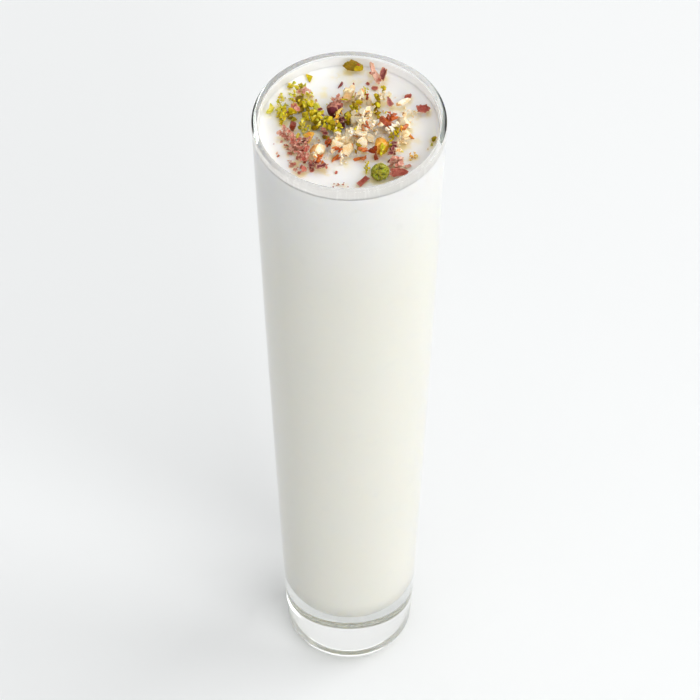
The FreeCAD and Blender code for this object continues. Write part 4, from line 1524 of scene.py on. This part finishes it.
@dataclass
class Toppings:
    """Everything on the drink: two heaps' cores, the larger toppings and the loose bits.

    Lengths are millimetres. Density and growth say how many more bits a patch gets and
    how much longer they are. Settle is the share of a bit's lower corners that may sink
    in, and most_taken the share of it that may lie over a larger topping.
    """

    drink: Drink
    bed: Bed
    seed: int = 1717
    sorts: int = 5
    highest: float = 245.3
    keep_off_wall: float = 0.4
    core_share: float = 0.84
    core_height: float = 0.36
    core_drop: float = 0.45
    density: float = 2.5
    growth: float = 1.26
    lift: float = 1.4
    tall: float = 1.2
    low_lift: float = 0.3
    settle: float = 0.3
    most_taken: float = 0.5
    gathered: float = 0.62
    aim_error: float = 18.0
    uneven: tuple[float, float] = (0.85, 1.15)
    proportions: dict[Form, Triple] = field(default_factory=lambda: {
        CHIP: (0.70, 0.50, 80), CHUNK: (0.80, 0.62, 70), SLICE: (0.70, 0.22, 40),
        SLIVER: (0.26, 0.22, 16), CRUMB: (0.8, 0.6, 80), SCRAP: (1.0, 1.0, 34)})

    def sort(self, form: Form, number: int) -> Piece:
        """Model one sort of a loose bit, one unit long.

        Args:
            form: How it is cut.
            number: Which sort of that form.

        Returns:
            The bit, to be copied.
        """
        name = f"{form.name.lower()}_{number}"
        if form is SCRAP:
            piece = PetalSheet(1.0, 0.8, thickness=0.09, curl=50 + 20 * number, bow=25,
                               crumple=0.16, torn=0.3, seed=number + 20,
                               cells=(5, 4)).build(name)
            move_to(piece, positions(piece) / MM)
            return piece
        strokes, slab, fineness = form.value
        return ChoppedBit(strokes, slab, fineness, 100 * strokes + number + fineness).build(name)

    def lay_core(self, node: str) -> None:
        """Build the core of a heap: what lies under its bits, smaller than the CAD heap.

        Args:
            node: The CAD heap.
        """
        piece = in_scene(node + "_core", bpy.data.objects[node].data.copy())
        piece.data.name = piece.name
        with editing(piece):
            bpy.ops.mesh.remove_doubles(threshold=0.01 * MM)
            bpy.ops.mesh.quads_convert_to_tris()
            bpy.ops.mesh.subdivide(number_cuts=1, smoothness=0.4)
        low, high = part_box(node)
        places = positions(piece)
        middle = np.array((low + high) / 2)
        middle[2] = low.z
        share = np.array((self.core_share, self.core_share, self.core_height))
        places = middle + (places - middle) * share
        places[:, 2] += (1 - self.core_height) * MM - self.core_drop * MM
        move_to(piece, places)
        roughen(piece, 1.1 * MM, 0.5 * MM, 3)
        write_attribute(piece, "skin", np.zeros(len(piece.data.vertices)))
        write_attribute(piece, "tone", np.full(len(piece.data.vertices), 0.6))
        smooth(piece, 50)
        self.bed.cover(positions(piece) / MM)
        fit_out(piece, NUT_MIX.slot, NUT_MIX.material(), (node,))

    def lay_chosen(self, row: Chosen) -> None:
        """Build one of the larger toppings where its CAD node is.

        Args:
            row: The topping.
        """
        piece = row.form.build(row.node + "_whole" if row.node.endswith("kernel")
                               else row.node + "_real")
        places = positions(piece)
        if isinstance(row.form, ChoppedBit):
            places = places * np.array(row.size) * MM
        places = places @ np.array(turned(*row.lie))[:3, :3].T
        low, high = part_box(row.node)
        centre = np.array((low + high) / 2)
        places += centre - (places.min(0) + places.max(0)) / 2
        lift = self.lift if (high - low).z > self.tall * MM else self.low_lift * self.lift
        places[:, 2] += lift * MM
        move_to(piece, places)
        write_attribute(piece, "tone", np.full(len(places), row.tone))
        self.bed.cover(places / MM)
        self.bed.keep_clear(places / MM)
        fit_out(piece, row.finish.slot, row.finish.material(), (row.node,))

    def strew(self) -> None:
        """Scatter every patch of loose bits over the bed, then join them kind by kind."""
        draw = random.Random(self.seed)
        sorts = {form: [self.sort(form, n) for n in range(self.sorts)] for form in Form}
        made: dict[Kind, list[Piece]] = {kind: [] for kind in Kind}
        for patch in STREWN:
            for _ in range(round(patch.count * (self.density if patch.count > 3 else 1))):
                bit = self.set_down(patch, draw, sorts[patch.form])
                if bit is not None:
                    made[patch.kind].append(bit)
        for models in sorts.values():
            for model in models:
                bpy.data.objects.remove(model)
        for kind, bits in made.items():
            name, finish = kind.value
            LOG.info("%s: %d bits", name, len(bits))
            fit_out(join(bits, name), finish.slot, finish.material())

    def set_down(self, patch: Strewn, draw: random.Random,
                 models: list[Piece]) -> Piece | None:
        """Lay one bit of a patch on whatever is there already.

        Args:
            patch: The patch it belongs to.
            draw: The source of chance.
            models: The sorts to choose from.

        Returns:
            The bit, or None where it would stand over the rim or on a larger topping.
        """
        model = models[draw.randrange(len(models))]
        length = draw.uniform(patch.small, patch.large) * self.growth
        wide, high, tip = self.proportions[patch.form]
        size = np.array((length, length * wide * draw.uniform(*self.uneven),
                         length * high * draw.uniform(*self.uneven)))
        combed = patch.turn and patch.form in (SLIVER, SLICE)
        turn = patch.turn + (draw.gauss(0, self.aim_error) if combed else draw.uniform(0, 360))
        spin = turned(draw.uniform(-tip, tip), draw.uniform(-tip, tip), turn)
        away, around = abs(draw.gauss(0, self.gathered)), draw.uniform(0, 2 * math.pi)
        lean = math.radians(patch.turn)
        u, v = patch.wide * away * math.cos(around), patch.deep * away * math.sin(around)
        x = patch.x + u * math.cos(lean) - v * math.sin(lean)
        y = patch.y + u * math.sin(lean) + v * math.cos(lean)
        free = self.drink.glass.wall_radius(self.drink.level) - self.keep_off_wall - length / 2
        reach = math.hypot(x, y)
        if reach > free:
            x, y = x * free / reach, y * free / reach
        places = (positions(model) * size) @ np.array(spin)[:3, :3].T + np.array((x, y, 0.0))
        places[:, 2] += self.bed.rest(places, self.settle)
        on_others = self.bed.taken[self.bed.spots(places)].mean() > self.most_taken
        if places[:, 2].max() > self.highest or on_others:
            return None
        self.bed.cover(places)
        bit = in_scene("bit", model.data.copy())
        move_to(bit, places * MM)
        write_attribute(bit, "tone", np.full(len(places), draw.uniform(patch.dark, patch.light)))
        return bit


# ------------------------------------------------------------------ studio

@dataclass
class Studio:
    """A pale floor, large soft lights to the right, in front and above, and the camera.

    Each light has its azimuth and elevation in degrees and its power in watts.
    """

    floor_size: float = 8.0
    floor_colour: Colour = srgb(238, 239, 239)
    floor_cloud: Colour = srgb(235, 237, 238)
    room_colour: Colour = (0.985, 0.995, 1.0, 1.0)
    room_strength: float = 0.453
    seen_strength: float = 0.93
    lights: tuple[tuple[str, float, float, float], ...] = (
        ("window_light", 15.0, 27.0, 136.0), ("front_light", -55.0, 25.0, 153.0),
        ("top_light", 0.0, 88.0, 46.0))
    light_distance: float = 4.75
    light_size: float = 3.75
    aim: Triple = (0.0, 0.0, 0.14252)
    camera_place: Triple = (0.0, -0.595556, 0.861146)
    lens: float = 154.286
    sensor: float = 36.0
    shift: float = 0.0011
    bounces: int = 24
    glass_bounces: int = 16

    def build(self) -> None:
        """Set up the floor, the room, the lights, the camera and how light travels."""
        self.floor()
        self.room()
        for light in self.lights:
            self.light(*light)
        self.camera()
        self.light_paths()

    def floor(self) -> None:
        """A plain pale floor."""
        put_away()
        bpy.ops.mesh.primitive_plane_add(size=self.floor_size, location=(0, 0, 0))
        floor = named("floor")
        bench = Bench.material("pale_floor")
        shade = bench.cloud(160.0, detail=2.0)
        colour = bench.blend(shade * 0.25, self.floor_colour, self.floor_cloud)
        shader = bench.add("BsdfPrincipled", {}, {"Base Color": colour, "Roughness": 0.7,
                                                  "Specular IOR Level": 0.2})
        floor.data.materials.append(bench.finish(shader))

    def room(self) -> None:
        """The room's even light, white where it is seen."""
        world = bpy.data.worlds.new("room")
        bpy.context.scene.world = world
        bench = Bench(world)
        ray = bench.add("LightPath", output="Is Camera Ray")
        fresh = 1 - ray.beside("Diffuse Depth").at_most(1)
        through = ray.beside("Is Transmission Ray") * fresh
        seen = ray.at_least(ray.beside("Is Glossy Ray")).at_least(through)
        even = bench.add("Background", {}, {"Color": self.room_colour,
                                            "Strength": self.room_strength})
        white = bench.add("Background", {}, {"Color": (1, 1, 1, 1),
                                             "Strength": self.seen_strength})
        bench.finish(bench.add("MixShader", {}, {0: seen, 1: even, 2: white}))

    def light(self, name: str, azimuth: float, elevation: float, power: float) -> None:
        """A square soft light that faces the glass from afar.

        Args:
            name: Its name.
            azimuth: Its direction round the glass, in degrees.
            elevation: Its height over the floor, in degrees.
            power: Its power, in watts.
        """
        lamp = bpy.data.lights.new(name, "AREA")
        lamp.shape, lamp.size, lamp.energy = "SQUARE", self.light_size, power
        stand = in_scene(name, lamp)
        way = Euler((0, -math.radians(elevation), math.radians(azimuth))).to_matrix()
        place = way @ Vector((self.light_distance, 0, 0))
        stand.location = place + Vector(self.aim)
        stand.rotation_euler = (-place).to_track_quat("-Z", "Y").to_euler()
        stand.visible_camera = False

    def camera(self) -> None:
        """The camera, looking down at the glass."""
        view = bpy.data.cameras.new("camera")
        view.lens, view.sensor_width, view.shift_x = self.lens, self.sensor, self.shift
        camera = in_scene("camera", view)
        camera.location = self.camera_place
        aim = Vector(self.aim) - Vector(self.camera_place)
        camera.rotation_euler = aim.to_track_quat("-Z", "Y").to_euler()
        bpy.context.scene.camera = camera

    def light_paths(self) -> None:
        """Let light pass as often as the thick foot of the glass needs."""
        cycles = bpy.context.scene.cycles
        cycles.max_bounces = self.bounces
        cycles.glossy_bounces = cycles.transmission_bounces = self.glass_bounces


# ------------------------------------------------------------------ the whole

def main() -> None:
    """Set up the studio, then build the glass, the drink and its toppings."""
    logging.basicConfig(level=logging.INFO, format="%(name)s: %(message)s")
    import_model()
    bpy.context.scene.view_settings.view_transform = "Standard"
    Studio().build()
    glass = TallGlass()
    drink = Drink(glass)
    glass.build()
    lassi = drink.build()
    bed = Bed(drink)
    toppings = Toppings(drink, bed)
    for node in ("nut_heap", "nut_heap_left"):
        toppings.lay_core(node)
    for row in CHOSEN:
        toppings.lay_chosen(row)
    toppings.strew()
    drink.stain(lassi, bed)
    fit_out(lassi, "lassi", drink.finish.material(), ("lassi",))
    drink.film()


if __name__ == "__main__":
    main()
